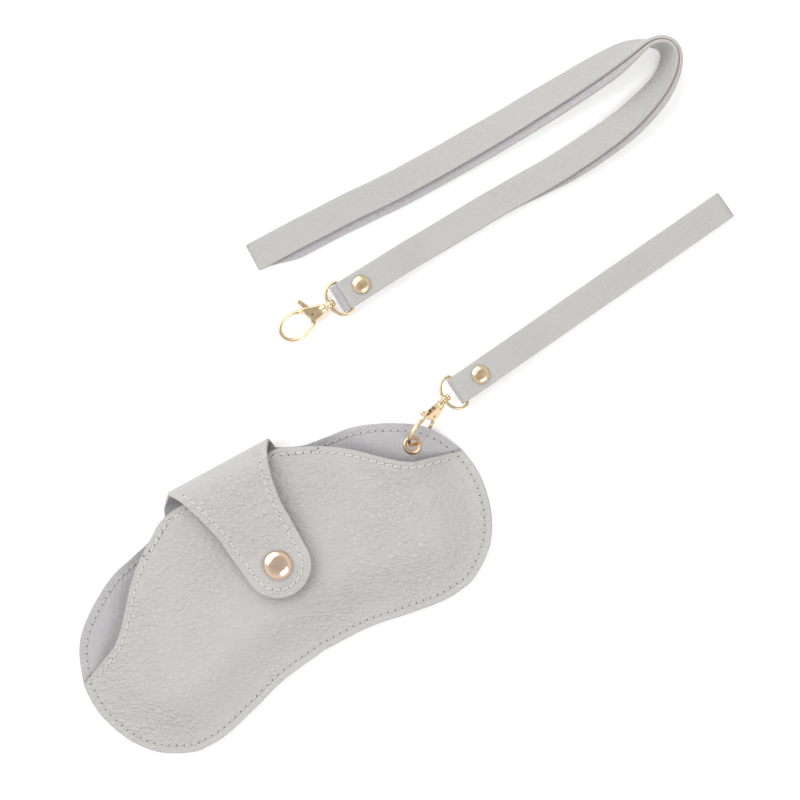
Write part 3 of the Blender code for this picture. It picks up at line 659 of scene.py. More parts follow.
def flap_side(table):
    """The flap's right edge in the flat pattern, from its root to the tip, and its centre line's x."""
    edge = [point * MM for point in smooth_line(FLAP_EDGE, 0.6)]
    turn = max(range(len(table)), key=lambda k: table[k][1])
    snap_y = middle("snap_cap").y
    side = []
    for k, (length, y, _) in enumerate(table):
        if k <= turn:
            narrowed = ease(k / turn)
            half = ROOT_HALF * (1 - narrowed) + FLAP_EDGE[0][1] * MM * narrowed
            side.append((half, FLAP_X * narrowed, length))
        elif y > snap_y:
            side.append((value_at(edge, 0, y, 1), FLAP_X, length))
    end = value_at([Vector((row[1], row[0])) for row in table[turn:]], 0, snap_y, 1)
    for k in range(25):
        angle = 0.5 * math.pi * k / 24
        side.append((TONGUE_R * math.cos(angle), FLAP_X, end + TONGUE_R * math.sin(angle)))
    return side


def back_and_flap():
    """The back panel and the flap, which are one piece of leather, carried on round the fold."""
    table = flap_profile()
    side = flap_side(table)
    right = [*half_line(LOWER_HALF), *half_line(UPPER_HALF)[1:-1]]
    left = [Vector((-point.x, point.y)) for point in reversed(right[1:])]
    flap = [Vector((centre + half, ROOT_Y + length)) for half, centre, length in side]
    flap += [Vector((centre - half, ROOT_Y + length)) for half, centre, length in reversed(side[:-1])]
    snap, hole = middle("snap_cap"), middle("eyelet")
    lengths = [row[0] for row in table]
    snap_v = ROOT_Y + value_at([Vector((row[1], row[0])) for row in table if row[2] > 10 * MM], 0, snap.y, 1)
    pattern = Pattern(right + flap + left, [((snap.x, snap_v), SNAP_HOLE_R), (hole.xy, EYELET_CUT_R)])
    flap_from = ROOT_Y + lengths[max(range(len(table)), key=lambda k: table[k][1])] + 3 * MM

    def place(u, v):
        if v <= ROOT_Y:
            lift = back_lift(u, v)
            ripple = 0.3 * MM * wave(u, v, 11 * MM, 3.1) * ease(2 * lift / SHOULDER_LIFT)
            return (u, v, LEATHER / 2 + lift + max(ripple, -lift))
        k = min(max(bisect.bisect_right(lengths, v - ROOT_Y) - 1, 0), len(table) - 2)
        (start, y_a, z_a), (stop, y_b, z_b) = table[k], table[k + 1]
        t = (v - ROOT_Y - start) / (stop - start)
        y, z = y_a + (y_b - y_a) * t, z_a + (z_b - z_a) * t
        raised = ease((y - SKEW_FROM[0]) / SKEW_REACH[0]) * ease((z - SKEW_FROM[1]) / SKEW_REACH[1])
        free = ease((math.hypot(u - snap.x, v - snap_v) - 6 * MM) / (5 * MM)) * ease((z - 11 * MM) / (2 * MM))
        return (u, y - FOLD_SKEW * (u - FLAP_X) * raised, z + 0.35 * MM * wave(u, v, 12 * MM, 7.7) * free)

    def sink(u, v):
        on_flap = ease((v - flap_from) / (2 * MM))
        inset_by = PERIMETER_INSET if v < ROOT_Y else FLAP_INSET
        strength = on_flap if v > ROOT_Y - 2 * MM else 1
        away = pattern.from_outline((u, v)) - inset_by
        return GROOVE * strength * math.exp(-((away / SEAM_WIDTH) ** 2))

    def grain(u, v):
        return 1 - 0.5 * ease((v - ROOT_Y + 2 * MM) / (4 * MM)) * ease((flap_from + 14 * MM - v) / (12 * MM))

    sheet = laid_sheet("leather_back_and_flap", pattern, place, (SUEDE, LEATHER_GRAIN, CUT_EDGE), sink, grain)
    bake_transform(sheet)
    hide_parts("back_panel", "flap_fold", "closure_flap")
    pattern.size()
    pattern.area()
    return sheet


def front_panel():
    """The front panel: sewn flat round its edge, bulged over the glasses' space and open along its mouth."""
    sewn_line, mouth_line = mirrored(SEWN), mirrored(MOUTH)
    snap = middle("snap_cap").xy
    pattern = Pattern(sewn_line + list(reversed(mouth_line)), [(snap, SNAP_HOLE_R)])
    mouth_tree = Pattern.tree([mouth_line])
    sewn_tree = Pattern.tree([sewn_line])

    def away(tree, u, v):
        return tree.find(Vector((u, v, 0)))[2]

    def place(u, v):
        free = ease((away(sewn_tree, u, v) - 6 * MM) / (10 * MM))
        free *= ease((math.hypot(u - snap.x, v - snap.y) - 6 * MM) / (7 * MM))
        sway = 0.4 * MM * wave(u, v, 26 * MM, 1.3) + 0.12 * MM * wave(u, v, 9 * MM, 5.2)
        return (u, v, front_underside(u, v) + LEATHER / 2 + sway * free)

    def sink(u, v):
        seam = math.exp(-(((away(sewn_tree, u, v) - PERIMETER_INSET) / SEAM_WIDTH) ** 2))
        lip = math.exp(-(((away(mouth_tree, u, v) - MOUTH_INSET) / SEAM_WIDTH) ** 2))
        return GROOVE * min(seam + lip, 1)

    panel = laid_sheet("leather_front", pattern, place, (LEATHER_GRAIN, SUEDE, CUT_EDGE), sink)
    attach(panel, "pouch")
    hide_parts("front_panel")
    pattern.size()
    pattern.area()
    return panel


# ---------------------------------------------------------------- sewing


def inset(line, distance):
    moved = []
    for k, point in enumerate(line):
        ahead = (line[min(k + 1, len(line) - 1)] - line[max(k - 1, 0)]).normalized()
        moved.append(point + Vector((-ahead.y, ahead.x)) * distance)
    return moved


def evenly(line, pitch):
    """Points of a plane line about a pitch apart, and the length between them made even."""
    lengths = [0]
    for a, b in zip(line, line[1:]):
        lengths.append(lengths[-1] + (b - a).length)
    count = max(1, round(lengths[-1] / pitch))
    spots = []
    for k in range(count + 1):
        want = lengths[-1] * k / count
        i = min(max(bisect.bisect_left(lengths, want), 1), len(line) - 1)
        t = (want - lengths[i - 1]) / max(lengths[i] - lengths[i - 1], 1e-9)
        spots.append(line[i - 1].lerp(line[i], min(max(t, 0), 1)))
    return spots


def surface_of(objects):
    """Casts down or up onto the objects and gives the spot and its normal."""
    trees = []
    for obj in objects:
        obj.data.calc_loop_triangles()
        verts = [vert.co for vert in obj.data.vertices]
        trees.append(BVHTree.FromPolygons(verts, [tuple(t.vertices) for t in obj.data.loop_triangles]))

    def cast(x, y, down=True):
        start, way = (Vector((x, y, 0.1)), -UP) if down else (Vector((x, y, -0.1)), UP)
        hits = [tree.ray_cast(start, way) for tree in trees]
        hits = [hit for hit in hits if hit[0] is not None]
        if not hits:
            return None
        hit = min(hits, key=lambda found: found[3])
        normal = hit[1] if hit[1].dot(way) < 0 else -hit[1]
        return hit[0], normal

    return cast


def sew(name, line, cast, body, replaces, finish, pitch, hole, down=True):
    """A row of separate stitches along a plane line: two-ply thread that dips into a hole at each end."""
    rng = random.Random(len(line))
    spots = evenly(line, pitch)
    stitches, holes = bmesh.new(), bmesh.new()
    around, along = 8, 11
    for a, b in zip(spots, spots[1:]):
        ends = [cast(point.x, point.y, down) for point in (a, b)]
        if None in ends:
            continue
        (head, up_a), (tail, up_b) = ends
        up = (up_a + up_b).normalized()
        run = tail - head
        if run.length > 1.6 * pitch:
            continue
        side = up.cross(run).normalized()
        tilt = side * run.length * SLANT * (1 + 0.25 * rng.uniform(-1, 1))
        rings = []
        for k in range(along + 1):
            t = 0.06 + 0.88 * k / along
            arch = math.sin(math.pi * k / along)
            spot = head.lerp(tail, t) + tilt * (t - 0.5)
            held = cast(spot.x, spot.y, down)
            if held:
                spot = held[0]
            centre = spot + up * (THREAD_R * (1.25 * arch**0.5 - 0.55))
            twist = 2 * math.pi * 1.6 * k / along
            ring = []
            for j in range(around):
                angle = 2 * math.pi * j / around
                ply = 1 + 0.16 * math.cos(2 * (angle - twist))
                offset = side * math.cos(angle) * 1.1 + up * math.sin(angle) * 0.85
                ring.append(stitches.verts.new(centre + offset * THREAD_R * ply))
            rings.append(ring)
        for one, two in zip(rings, rings[1:]):
            for j in range(around):
                stitches.faces.new((one[j], one[(j + 1) % around], two[(j + 1) % around], two[j]))
        stitches.faces.new(list(reversed(rings[0])))
        stitches.faces.new(rings[-1])
    # A flat near-black disc at each needle hole, painted shade for the hole's shaded inside.
    for point in spots:
        found = cast(point.x, point.y, down)
        if found is None:
            continue
        spot, normal = found
        turn = UP.rotation_difference(normal).to_matrix().to_4x4()
        squash = Matrix.Diagonal((hole, hole, 0.07 * MM, 1))
        bmesh.ops.create_uvsphere(holes, u_segments=10, v_segments=6, radius=1,
                                  matrix=Matrix.Translation(spot) @ turn @ squash)
    for part, work, coat in (("", stitches, finish), ("_hole_shades", holes, HOLE_SHADE)):
        bmesh.ops.recalc_face_normals(work, faces=work.faces)
        mesh = bpy.data.meshes.new(name + part)
        work.to_mesh(mesh)
        work.free()
        mesh.shade_smooth()
        obj = link(name + part, mesh, (coat,))
        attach(obj, body)
    if replaces:
        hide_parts(replaces)


def sewing(back, front):
    both = surface_of([front, back])
    right = SEWN + [point for point in half_line(UPPER_HALF) if point.y > SEWN[-1].y]
    full = [Vector((-point.x, point.y)) for point in reversed(right[1:])] + right
    perimeter = inset(full, PERIMETER_INSET)
    # The perimeter rows take the darker thread, painted shade of the sunken seam.
    sew("perimeter_stitches", perimeter, both, "pouch", "perimeter_stitching", SHADED_THREAD,
        PERIMETER_PITCH, 0.44 * MM)
    under = surface_of([back])
    sew("perimeter_stitches_under", perimeter, under, "pouch", None, SHADED_THREAD,
        PERIMETER_PITCH, 0.4 * MM, down=False)
    mouth = [point for point in inset(mirrored(MOUTH), -MOUTH_INSET) if abs(point.x) < 83 * MM]
    sew("mouth_stitches", mouth, surface_of([front]), "pouch", "mouth_stitching", PALE_THREAD,
        PITCH, 0.3 * MM)
    profile = [point * MM for point in smooth_line(FLAP_SIDE, 0.6)]
    turn = max(range(len(profile)), key=lambda k: profile[k].x)
    edge = [point * MM for point in smooth_line(FLAP_EDGE, 0.6)]
    side = []
    for point in profile[turn:]:
        if point.x < 51 * MM:
            half = value_at(edge, 0, point.x, 1) - FLAP_INSET
            skew = FOLD_SKEW * half * ease((point.x - 34 * MM) / (16 * MM))
            side.append((half, point.x, skew))
    snap_y = middle("snap_cap").y
    radius = TONGUE_R - FLAP_INSET
    for k in range(1, 25):
        angle = 0.5 * math.pi * k / 24
        side.append((radius * math.cos(angle), snap_y - radius * math.sin(angle), 0))
    line = [Vector((FLAP_X - half, y + skew)) for half, y, skew in side]
    line += [Vector((FLAP_X + half, y - skew)) for half, y, skew in reversed(side[:-1])]
    sew("flap_stitches", line, under, "flap", "flap_stitching", PALE_THREAD, PITCH, 0.28 * MM)


# ---------------------------------------------------------------- hardware


def turned(name, profile, matrix, finish, body, nodes, steps=72):
    """A turned piece from its profile (radius, height in mm), which runs down its outer side."""
    mesh = bpy.data.meshes.new(name)
    points = [(radius * MM, 0, height * MM) for radius, height in profile]
    mesh.from_pydata(points, [(k, k + 1) for k in range(len(points) - 1)], [])
    obj = link(name, mesh, (finish,))
    screw = obj.modifiers.new("turned", "SCREW")
    screw.steps = screw.render_steps = steps
    screw.use_merge_vertices = True
    screw.merge_threshold = 0.00001
    applied(obj)
    obj.data.transform(matrix)
    obj.data.shade_smooth()
    obj.data.set_sharp_from_angle(angle=math.radians(50))
    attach(obj, body)
    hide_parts(*nodes)


def arc(centre, radius, start, end, count):
    """Points of an arc in a profile, angles in degrees from the outward direction."""
    return [(centre[0] + radius * math.cos(math.radians(start + (end - start) * k / count)),
             centre[1] + radius * math.sin(math.radians(start + (end - start) * k / count)))
            for k in range(count + 1)]


def crown(radius, base, height, rim):
    """A domed cap: nearly flat on top, rolled over at its rim."""
    points, count = [(0, base + height)], 14
    for k in range(1, count + 1):
        t = k / count
        up = math.sqrt(1 - (t * 0.93) ** 2.4)
        points.append(((radius - rim) * t, base + rim + (height - rim) * up))
    return points + arc((radius - rim, base + rim), rim, 60, -90, 7)


def snap():
    """Cap over the flap, sprung socket under it, stud on the front panel and its flange in the pocket."""
    x, y = middle("snap_cap").xy
    low, high = heights("snap_cap")
    cap = TONGUE_Z / MM + LEATHER / MM / 2 + 0.12
    dome = [*crown(5.9, cap, high - cap, 0.35), (5.0, cap), (1.2, cap), (1.2, low), (0, low)]
    turned("snap_cap_dome", dome, at(x, y), ROSE_GOLD, "flap", ["snap_cap"], 96)
    low, high = heights("snap_socket")
    socket = [(1.5, high), (5.1, high), *arc((5.1, high - 0.4), 0.4, 90, 0, 4), (5.5, low + 0.4),
              *arc((5.1, low + 0.4), 0.4, 0, -90, 4), (4.3, low), (4.0, low + 0.35), (3.3, low + 0.35),
              (3.0, low), (2.7, low + 0.1), (2.7, high - 0.6), (1.5, high - 0.6), (1.5, high)]
    turned("snap_socket_ring", socket, at(x, y), NICKEL, "flap", ["snap_socket"])
    low, high = heights("snap_stud")
    stud = [(1.5, high), (1.9, high), *arc((1.9, high - 0.35), 0.35, 90, -20, 5), (1.9, low + 1.0),
            (2.1, low + 0.7), (4.9, low + 0.55), *arc((5.1, low + 0.27), 0.27, 80, -90, 5), (1.5, low),
            (1.5, high)]
    turned("snap_stud_ball", stud, at(x, y), NICKEL, "pouch", ["snap_stud"])
    low, high = heights("snap_stud_post")
    flange = [(0, high), (0.9, high), (1.1, high - 0.2), (1.1, low + 0.5), (4.2, low + 0.45),
              *arc((4.3, low + 0.2), 0.2, 80, -90, 4), (0, low)]
    turned("snap_stud_flange", flange, at(x, y), NICKEL, "pouch", ["snap_stud_post"])


def eyelet():
    x, y = middle("eyelet").xy
    lift = LEATHER / MM / 2 + back_lift(x, y) / MM
    top, under = lift + 0.78, lift - 0.78
    hole, rim = 2.3, 3.8
    flange = [(hole + 0.05, top + 0.1), (hole + 0.15, top + 0.32), (hole + 0.38, top + 0.48),
              (hole + 0.65, top + 0.52), (rim - 0.45, top + 0.42), (rim - 0.15, top + 0.24), (rim, top),
              (hole + 0.45, top), (hole + 0.45, under - 0.15), (hole + 0.2, under - 0.35),
              (hole, under - 0.2), (hole, top), (hole + 0.05, top + 0.1)]
    turned("eyelet_flange", flange, at(x, y), WARM_GOLD, "pouch", ["eyelet"], 96)
    washer = [(hole + 0.6, under), (rim - 0.3, under), (rim - 0.1, under - 0.12), (rim - 0.3, under - 0.3),
              (hole + 0.6, under - 0.3), (hole + 0.6, under)]
    turned("eyelet_back_washer", washer, at(x, y), PALE_GOLD, "pouch", ["eyelet_washer"], 96)


def rivet(which):
    """A double-cap rivet: domed cap above, post through the leather, flange below."""
    node = f"{which}_strap_rivet_cap"
    x, y = middle(node).xy
    top = (STACK[2] + LEATHER / 2) / MM + 0.08
    radius = 3.65
    dome = [*crown(radius, top, 1.55, 0.42), (1.5, top), (1.5, top + 0.5), (0, top + 0.5)]
    turned(f"{which}_rivet_dome", dome, at(x, y), PALE_GOLD, f"{which}_strap", [node], 96)
    post = [(0, top + 0.3), (1.2, top + 0.3), (1.2, 0.65), (radius - 0.3, 0.65),
            *arc((radius - 0.3, 0.37), 0.28, 85, -60, 6), (radius - 0.8, 0.06), (0, 0.06)]
    turned(f"{which}_rivet_back", post, at(x, y), PALE_GOLD, f"{which}_strap",
           [f"{which}_strap_rivet_post"])


def frame_of(which, along, side):
    axes = Matrix((along, side, along.cross(side))).transposed().to_4x4()
    return at(*(value * MM for value in which["swivel"])) @ axes


def clasp_frame(which):
    heading, roll = math.radians(which["heading"]), math.radians(which["roll"])
    along = Vector((-math.cos(heading), -math.sin(heading), 0))
    side = Vector((-math.sin(heading), math.cos(heading), 0))
    return frame_of(which, along, side * math.cos(roll) + UP * math.sin(roll))


def ring_frame(which):
    heading, rise = math.radians(which["ring_heading"]), math.radians(which["rise"])
    along = -Vector((math.cos(heading) * math.cos(rise), math.sin(heading) * math.cos(rise), math.sin(rise)))
    return frame_of(which, along, Vector((-math.sin(heading), math.cos(heading), 0)))


ACROSS = Matrix.Rotation(math.pi / 2, 4, "Y")


def local(u, v):
    return Matrix.Translation((u * MM, v * MM, 0))


def rounded_outline(points, radius):
    """The outline with each corner swapped for a small curve."""
    out = []
    count, steps = len(points), 5
    for k in range(count):
        before, here, after = (Vector(points[(k + i) % count]) for i in (-1, 0, 1))
        reach = min(radius, (before - here).length * 0.45, (after - here).length * 0.45)
        a = here + (before - here).normalized() * reach
        b = here + (after - here).normalized() * reach
        for j in range(steps + 1):
            t = j / steps
            out.append(a * (1 - t) ** 2 + here * 2 * t * (1 - t) + b * t**2)
    return out


def plate(name, outline, half, bevel, corner):
    curve = bpy.data.curves.new(name, "CURVE")
    curve.dimensions = "2D"
    curve.fill_mode = "BOTH"
    curve.extrude = (half - bevel) * MM
    curve.bevel_depth = bevel * MM
    curve.bevel_resolution = 3
    curve.offset = -bevel * MM
    spots = rounded_outline(outline, corner)
    spline = curve.splines.new("POLY")
    spline.points.add(len(spots) - 1)
    for spot, (u, v) in zip(spline.points, spots):
        spot.co = (u * MM, v * MM, 0, 1)
    spline.use_cyclic_u = True
    obj = bpy.data.objects.new(name, curve)
    bpy.context.scene.collection.objects.link(obj)
    return applied(obj)


def tube(name, points, radius, cyclic=False, sides=6, radii=None):
    curve = bpy.data.curves.new(name, "CURVE")
    curve.dimensions = "3D"
    curve.bevel_depth = radius * MM
    curve.bevel_resolution = sides
    curve.use_fill_caps = True
    spline = curve.splines.new("POLY")
    spline.points.add(len(points) - 1)
    for k, (spot, point) in enumerate(zip(spline.points, points)):
        spot.co = (point[0] * MM, point[1] * MM, point[2] * MM, 1)
        if radii:
            spot.radius = radii[k]
    spline.use_cyclic_u = cyclic
    obj = bpy.data.objects.new(name, curve)
    bpy.context.scene.collection.objects.link(obj)
    return applied(obj)


def cast_together(name, parts, voxel=0.13):
    """Fuses overlapping solids into one cast piece with soft fillets."""
    work = bmesh.new()
    for part in parts:
        part.data.transform(part.matrix_world)
        work.from_mesh(part.data)
        bpy.data.objects.remove(part, do_unlink=True)
    bmesh.ops.remove_doubles(work, verts=work.verts, dist=0.000005)
    mesh = bpy.data.meshes.new(name)
    work.to_mesh(mesh)
    work.free()
    mesh.materials.clear()
    obj = link(name, mesh)
    fused = obj.modifiers.new("fused", "REMESH")
    fused.mode = "VOXEL"
    fused.voxel_size = voxel * MM
    fused.adaptivity = 0.0
    soft = obj.modifiers.new("soft", "SMOOTH")
    soft.factor = 0.5
    soft.iterations = 5
    applied(obj)
    obj.data.shade_smooth()
    return obj


def finished(obj, finish, matrix, body, nodes):
    obj.data.materials.clear()
    obj.data.materials.append(finish)
    for polygon in obj.data.polygons:
        polygon.material_index = 0
    obj.data.transform(matrix)
    obj.data.shade_smooth()
    obj.data.set_sharp_from_angle(angle=math.radians(48))
    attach(obj, body)
    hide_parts(*nodes)
    return obj


def clasp(which):
    """One swivel clasp: cast hook with a slotted body, trigger gate on its pin, spring, post and D-ring."""
    name, into_row, ring = which["name"], clasp_frame(which), ring_frame(which)
    body = f"{name}_clasp"
    wire = [(8.4, 3.3, 0), (9.6, 3.75, 0)]
    for k in range(49):
        angle = math.radians(128 - 4.47 * k)
        wire.append((RING_CENTRE + RING_LONG * math.cos(angle), RING_WIDE * math.sin(angle), 0))
    thick = [1.25, 1.15] + [1.0 + 0.12 * max(0, 1 - k / 14) for k in range(49)]
    ball = [(2.9 - 1.3 + 0.2 * k, 0, 0) for k in range(14)]
    collar = tube("collar", ball, 1.8, sides=8, radii=[0.86, 0.97, *[1.0] * 8, 1.0, 0.96, 0.9, 0.85])
    rim = tube("rim", [(3.2, 2.0, 0), (9.3, 4.25, 0)], 0.5, sides=4)
    hook = cast_together(f"{name}_hook_body", [plate("body", PLATE, 1.25, 0.4, 0.9), collar, rim,
                                               tube("arm", wire, WIRE_R, sides=8, radii=thick)])
    slot = bpy.data.meshes.new("slot")
    work = bmesh.new()
    bmesh.ops.create_cube(work, size=1)
    bmesh.ops.scale(work, vec=(5.2 * MM, 14 * MM, 1.5 * MM), verts=work.verts)
    work.to_mesh(slot)
    work.free()
    slot = link("slot", slot)
    slot.matrix_world = local(7.2, -0.9)
    cut(hook, slot)
    cut(hook, cylinder(0.55 * MM, 6 * MM, local(*PIN_AT)))
    cut(hook, cylinder(1.0 * MM, 3.6 * MM, into_row.inverted() @ ring @ local(1.1, 0) @ ACROSS))
    finished(hook, PALE_GOLD, into_row, body, [f"{name}_clasp_hook"])

    gate = plate(f"{name}_gate_lever", GATE, 0.45, 0.2, 0.8)
    thumb = tube("thumb", [(9.75, 7.2, -0.9), (9.75, 7.2, 0.9)], 0.75, sides=6)
    bar = tube("bar", [(9.2, -3.2, 0), (10.5, -3.7, 0), (13, -4.5, 0), (15.8, -5.2, 0)], 0.74, sides=6)
    gate = cast_together(f"{name}_gate_lever", [gate, thumb, bar], 0.11)
    cut(gate, cylinder(0.55 * MM, 6 * MM, local(*PIN_AT)))
    finished(gate, PALE_GOLD, into_row, f"{name}_gate", [f"{name}_clasp_gate"])

    # The pin's blackish plating is painted shade of the pivot dimple.
    pin = [(0, 1.27), (0.36, 1.27), (0.45, 1.18), (0.45, -1.18), (0.36, -1.27), (0, -1.27)]
    turned(f"{name}_pin", pin, into_row @ local(*PIN_AT), PIN_PAINTED_SHADE, body,
           [f"{name}_gate_pin"], 32)
    coil = []
    for k in range(73):
        angle = 2 * math.pi * k / 24
        coil.append((5.3 + 0.45 * math.cos(angle), -0.7 + 1.4 * k / 72, 0.45 * math.sin(angle)))
    spring = tube(f"{name}_spring", coil, 0.12, sides=3)
    finished(spring, NICKEL, into_row, body, [f"{name}_gate_spring"])

    head = [(0, 2.6), (0.8, 2.6), (0.8, -1.3), (1.45, -1.3), *arc((0.7, -1.65), 0.82, 10, -80, 8), (0, -2.52)]
    upright = ring @ ACROSS
    turned(f"{name}_post", head, upright, PALE_GOLD, body, [f"{name}_swivel_post"], 48)

    corner = 1.4
    d_path = [(-DRING_BAR, y, 0) for y in (0, 2, 4, DRING_HALF - corner)]
    for angle in map(math.radians, (18, 36, 54, 72)):
        d_path.append((-DRING_BAR + corner - corner * math.cos(angle),
                       DRING_HALF - corner + corner * math.sin(angle), 0))
    for k in range(41):
        angle = math.radians(88 - 176 * k / 40)
        d_path.append((-DRING_ARC + DRING_ARC * math.cos(angle), DRING_HALF * math.sin(angle), 0))
    d_path += [(x, -y, z) for x, y, z in reversed(d_path[1:8])]
    wire = tube("d_wire", d_path, DRING_R, cyclic=True, sides=8)
    barrel = [(-1.1 + 0.2 * k, 0, 0) for k in range(11)]
    boss = tube("boss", barrel, 1.7, sides=8, radii=[0.85, 0.96, *[1.0] * 7, 0.96, 0.85])
    d_ring = cast_together(f"{name}_d_ring", [wire, boss], 0.12)
    cut(d_ring, cylinder(1.0 * MM, 6 * MM, local(-0.1, 0) @ ACROSS))
    finished(d_ring, PALE_GOLD, ring, f"{name}_ring", [f"{name}_dring"])


# ---------------------------------------------------------------- straps


def bar_centre(which):
    return ring_frame(which) @ Vector((-DRING_BAR * MM, 0, 0))


def stack_height(layer, distance):
    settled = ease((distance - SETTLE[0]) / (SETTLE[1] - SETTLE[0]))
    return STACK[layer] * (1 - settled) + PAIR[max(layer - 1, 0)] * settled


def run(first, last, step):
    count = max(1, round(abs(last - first) / step))
    return [first + (last - first) * k / count for k in range(count + 1)]


def half_turn(height, nose, count):
    """From above the bar, round a nose this far past it, to below it."""
    return [(-nose * math.sin(math.pi * k / count), height + WRAP_R * math.cos(math.pi * k / count))
            for k in range(count + 1)]


def far_fold(length):
    """Round the strap's far end, from the upper layer to the under one."""
    mid, radius, count = sum(PAIR) / 2, LAYER / 2, 10
    return [(length + radius * math.sin(math.pi * k / count), mid + radius * math.cos(math.pi * k / count))
            for k in range(1, count)]


def strap_band(name, strip, route, body, node, hole, finishes):
    """A strap from one strip of leather. Each strip point is a distance, a height and a sideways shift."""
    marks = [0]
    for a, b in zip(strip, strip[1:]):
        marks.append(marks[-1] + math.hypot(b[0] - a[0], b[1] - a[1]))
    length, half = marks[-1], STRAP_W / 2
    outline = [Vector(corner) for corner in ((0, -half), (length, -half), (length, half), (0, half))]
    pattern = Pattern(outline)

    def place(u, v):
        k = min(max(bisect.bisect_right(marks, u) - 1, 0), len(strip) - 2)
        t = (u - marks[k]) / max(marks[k + 1] - marks[k], 1e-9)
        distance, height, shift = (a + (b - a) * t for a, b in zip(strip[k], strip[k + 1]))
        worn = 0.12 * MM * noise.noise(Vector((u / (9 * MM), 0.5, 2.5)))
        return route(distance, height, shift + v + worn)

    band = laid_sheet(name, pattern, place, finishes, grain=lambda u, v: 0.5)
    cut(band, cylinder(1.5 * MM, 16 * MM, at(*hole)))
    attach(band, body)
    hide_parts(node)
    return band


def wrist_strap():
    bar = bar_centre(WRIST)
    heading = math.radians(WRIST["ring_heading"])
    along = Vector((math.cos(heading), math.sin(heading), 0))
    side = Vector((-along.y, along.x, 0))

    def route(distance, height, sideways):
        return Vector((bar.x, bar.y, 0)) + along * distance + side * sideways + UP * height

    near = 8 * MM
    strip = []
    for s in run(TAIL, AT_BAR, STRIP_STEP):
        strip.append((s, STACK[0] + (bar.z - WRAP_R - STACK[0]) * (1 - ease(s / near))))
    strip += reversed(half_turn(bar.z, WRAP_R, 18))
    for s in run(AT_BAR, WRIST_LENGTH, STRIP_STEP):
        strip.append((s, stack_height(2, s) + (bar.z + WRAP_R - STACK[2]) * (1 - ease(s / near))))
    strip += far_fold(WRIST_LENGTH)
    strip += [(s, stack_height(1, s)) for s in run(WRIST_LENGTH, WRIST_RETURN, STRIP_STEP)]
    strip = [(s, z, 0) for s, z in strip]
    strap_band("wrist_strap_leather", strip, route, "wrist_strap", "wrist_strap_band",
               middle("wrist_strap_rivet_cap").xy, (STRAP_GRAIN, SUEDE, CUT_EDGE))


def neck_strap():
    bar = bar_centre(NECK)
    line = smooth_line(NECK_ROUTE, 1.5)
    samples, distance = [], line[0].x * MM - bar.x
    for k, point in enumerate(line):
        if k:
            distance += (point.xy - line[k - 1].xy).length * MM
        samples.append((distance, point.x * MM, point.y * MM, math.radians(point.z)))
    marks = [sample[0] for sample in samples]
    length = marks[-1]
    pair_mid = sum(PAIR) / 2

    def frame_at(distance):
        k = min(max(bisect.bisect_right(marks, distance) - 1, 0), len(samples) - 2)
        a, b = samples[k], samples[k + 1]
        t = (distance - a[0]) / (b[0] - a[0])
        x, y, roll = (a[i] * (1 - t) + b[i] * t for i in (1, 2, 3))
        before, after = samples[max(k - 3, 0)], samples[min(k + 4, len(samples) - 1)]
        tangent = Vector((after[1] - before[1], after[2] - before[2], 0)).normalized()
        return Vector((x, y, 0)), tangent, roll

    def route(distance, height, sideways):
        point, tangent, roll = frame_at(distance)
        outward = tangent.cross(UP)
        raised = math.cos(roll) * outward + math.sin(roll) * UP
        facing = -math.sin(roll) * outward + math.cos(roll) * UP
        rest = pair_mid * abs(math.cos(roll)) + STRAP_W / 2 * math.sin(roll)
        return point + UP * rest + facing * (height - pair_mid) + raised * sideways

    def peek(distance, layer):
        most, start, whole, fade, gone = LOWER_PEEK if layer == 1 else UPPER_PEEK
        share = distance / length
        return most * ease((share - start) / (whole - start)) * (1 - ease((share - fade) / (gone - fade)))

    over, near = bar.z + WRAP_R, 4.5 * MM
    strip = []
    for s in run(-NECK_OVERHANG, length, STRIP_STEP):
        rise = (over + LAYER - STACK[2]) * (1 - ease((s - 1 * MM) / near))
        strip.append((s, stack_height(2, s) + rise, peek(s, 2)))
    strip += [(s, z, 0) for s, z in far_fold(length)]
    for s in run(length, AT_BAR, STRIP_STEP):
        strip.append((s, stack_height(1, s) + (over - STACK[1]) * (1 - ease(s / near)), peek(s, 1)))
    strip += [(s, z, 0) for s, z in half_turn(bar.z, NECK_NOSE, 18)]
    for s in run(AT_BAR, TAIL, STRIP_STEP):
        strip.append((s, STACK[0] + (bar.z - WRAP_R - STACK[0]) * (1 - ease(s / near)), 0))
    strap_band("neck_strap_leather", strip, route, "neck_strap", "neck_strap_band",
               middle("neck_strap_rivet_cap").xy, (SUEDE, STRAP_GRAIN, CUT_EDGE))


# ---------------------------------------------------------------- stage


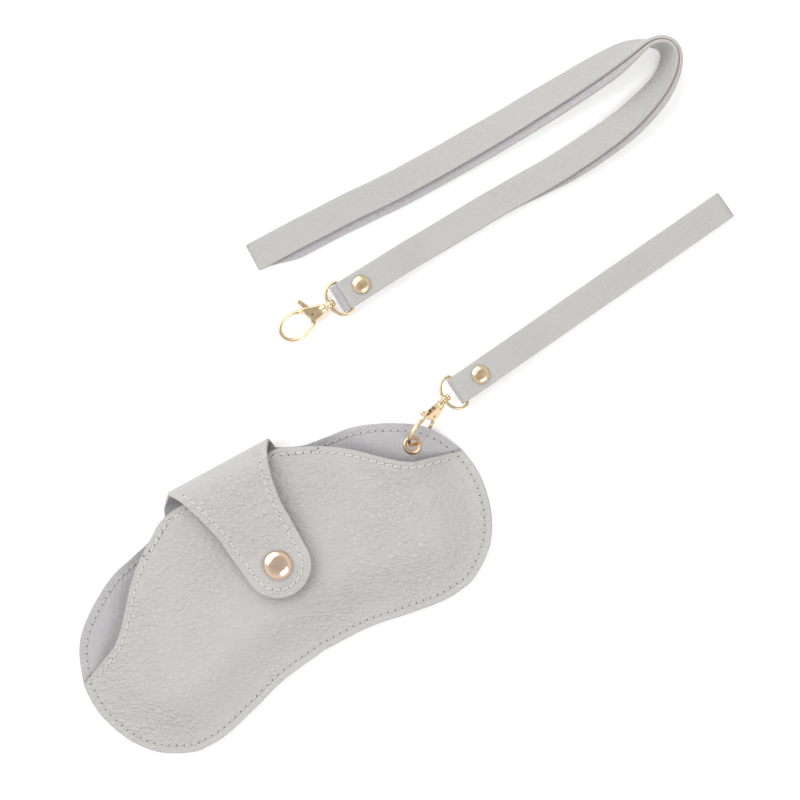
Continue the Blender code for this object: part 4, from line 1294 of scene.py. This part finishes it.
def stage():
    """White table, bright even room, one large soft light from the upper left, and the overhead camera."""
    mesh = bpy.data.meshes.new("table")
    work = bmesh.new()
    bmesh.ops.create_grid(work, x_segments=1, y_segments=1, size=4)
    bmesh.ops.translate(work, vec=(0, 0, -0.0003), verts=work.verts)
    work.to_mesh(mesh)
    work.free()
    paint = Paint("white_table", 0.7)
    paint.shader.inputs["Base Color"].default_value = (0.92, 0.92, 0.92, 1)
    paint.shader.inputs["Emission Color"].default_value = (1, 1, 1, 1)
    paint.shader.inputs["Emission Strength"].default_value = 0.2
    paint.shader.inputs["Specular IOR Level"].default_value = 0.1
    link("table", mesh, (paint.material,))

    world = bpy.data.worlds.new("studio")
    world.use_nodes = True
    bpy.context.scene.world = world
    tree = world.node_tree
    background = tree.nodes["Background"]
    where = tree.nodes.new("ShaderNodeTexCoord")
    split = tree.nodes.new("ShaderNodeSeparateXYZ")
    ramp = tree.nodes.new("ShaderNodeValToRGB")
    tree.links.new(where.outputs["Generated"], split.inputs[0])
    tree.links.new(split.outputs["Z"], ramp.inputs["Fac"])
    tree.links.new(ramp.outputs["Color"], background.inputs["Color"])
    ramp.color_ramp.interpolation = "EASE"
    shades = ((0.0, 0.5), (0.2, 0.3), (0.42, 1.0), (0.7, 0.92), (0.96, 0.6))
    while len(ramp.color_ramp.elements) < len(shades):
        ramp.color_ramp.elements.new(0.5)
    for element, (height, shade) in zip(ramp.color_ramp.elements, shades):
        element.position = height
        element.color = (shade, shade, shade, 1)
    background.inputs["Strength"].default_value = 0.92

    centre = Vector((0.0786, 0.0386, 0))

    def soft_light(name, offset, size, power):
        light = bpy.data.lights.new(name, "AREA")
        light.shape = "RECTANGLE"
        light.size, light.size_y = size
        light.energy = power
        obj = bpy.data.objects.new(name, light)
        bpy.context.scene.collection.objects.link(obj)
        obj.location = centre + RIGHT * offset[0] + FORWARD * offset[1] + UP * offset[2]
        obj.rotation_euler = (centre - obj.location).to_track_quat("-Z", "Y").to_euler()

    soft_light("window", (-1.1, 1.0, 1.3), (2.2, 2.0), 28.0)
    soft_light("fill", (0.6, -0.8, 1.3), (0.9, 0.7), 7.0)

    camera = bpy.data.objects.new("camera", bpy.data.cameras.new("camera"))
    bpy.context.scene.collection.objects.link(camera)
    camera.data.sensor_width = 36
    camera.data.lens = 100.7
    camera.data.clip_start = 0.01
    axes = Matrix((RIGHT, FORWARD, UP)).transposed().to_4x4()
    camera.matrix_world = Matrix.Translation(centre + UP * 0.9) @ axes
    bpy.context.scene.camera = camera
    bpy.context.scene.view_settings.view_transform = "Standard"


stage()
back = back_and_flap()
front = front_panel()
sewing(back, front)
snap()
eyelet()
clasp(WRIST)
clasp(NECK)
rivet("wrist")
rivet("neck")
wrist_strap()
neck_strap()
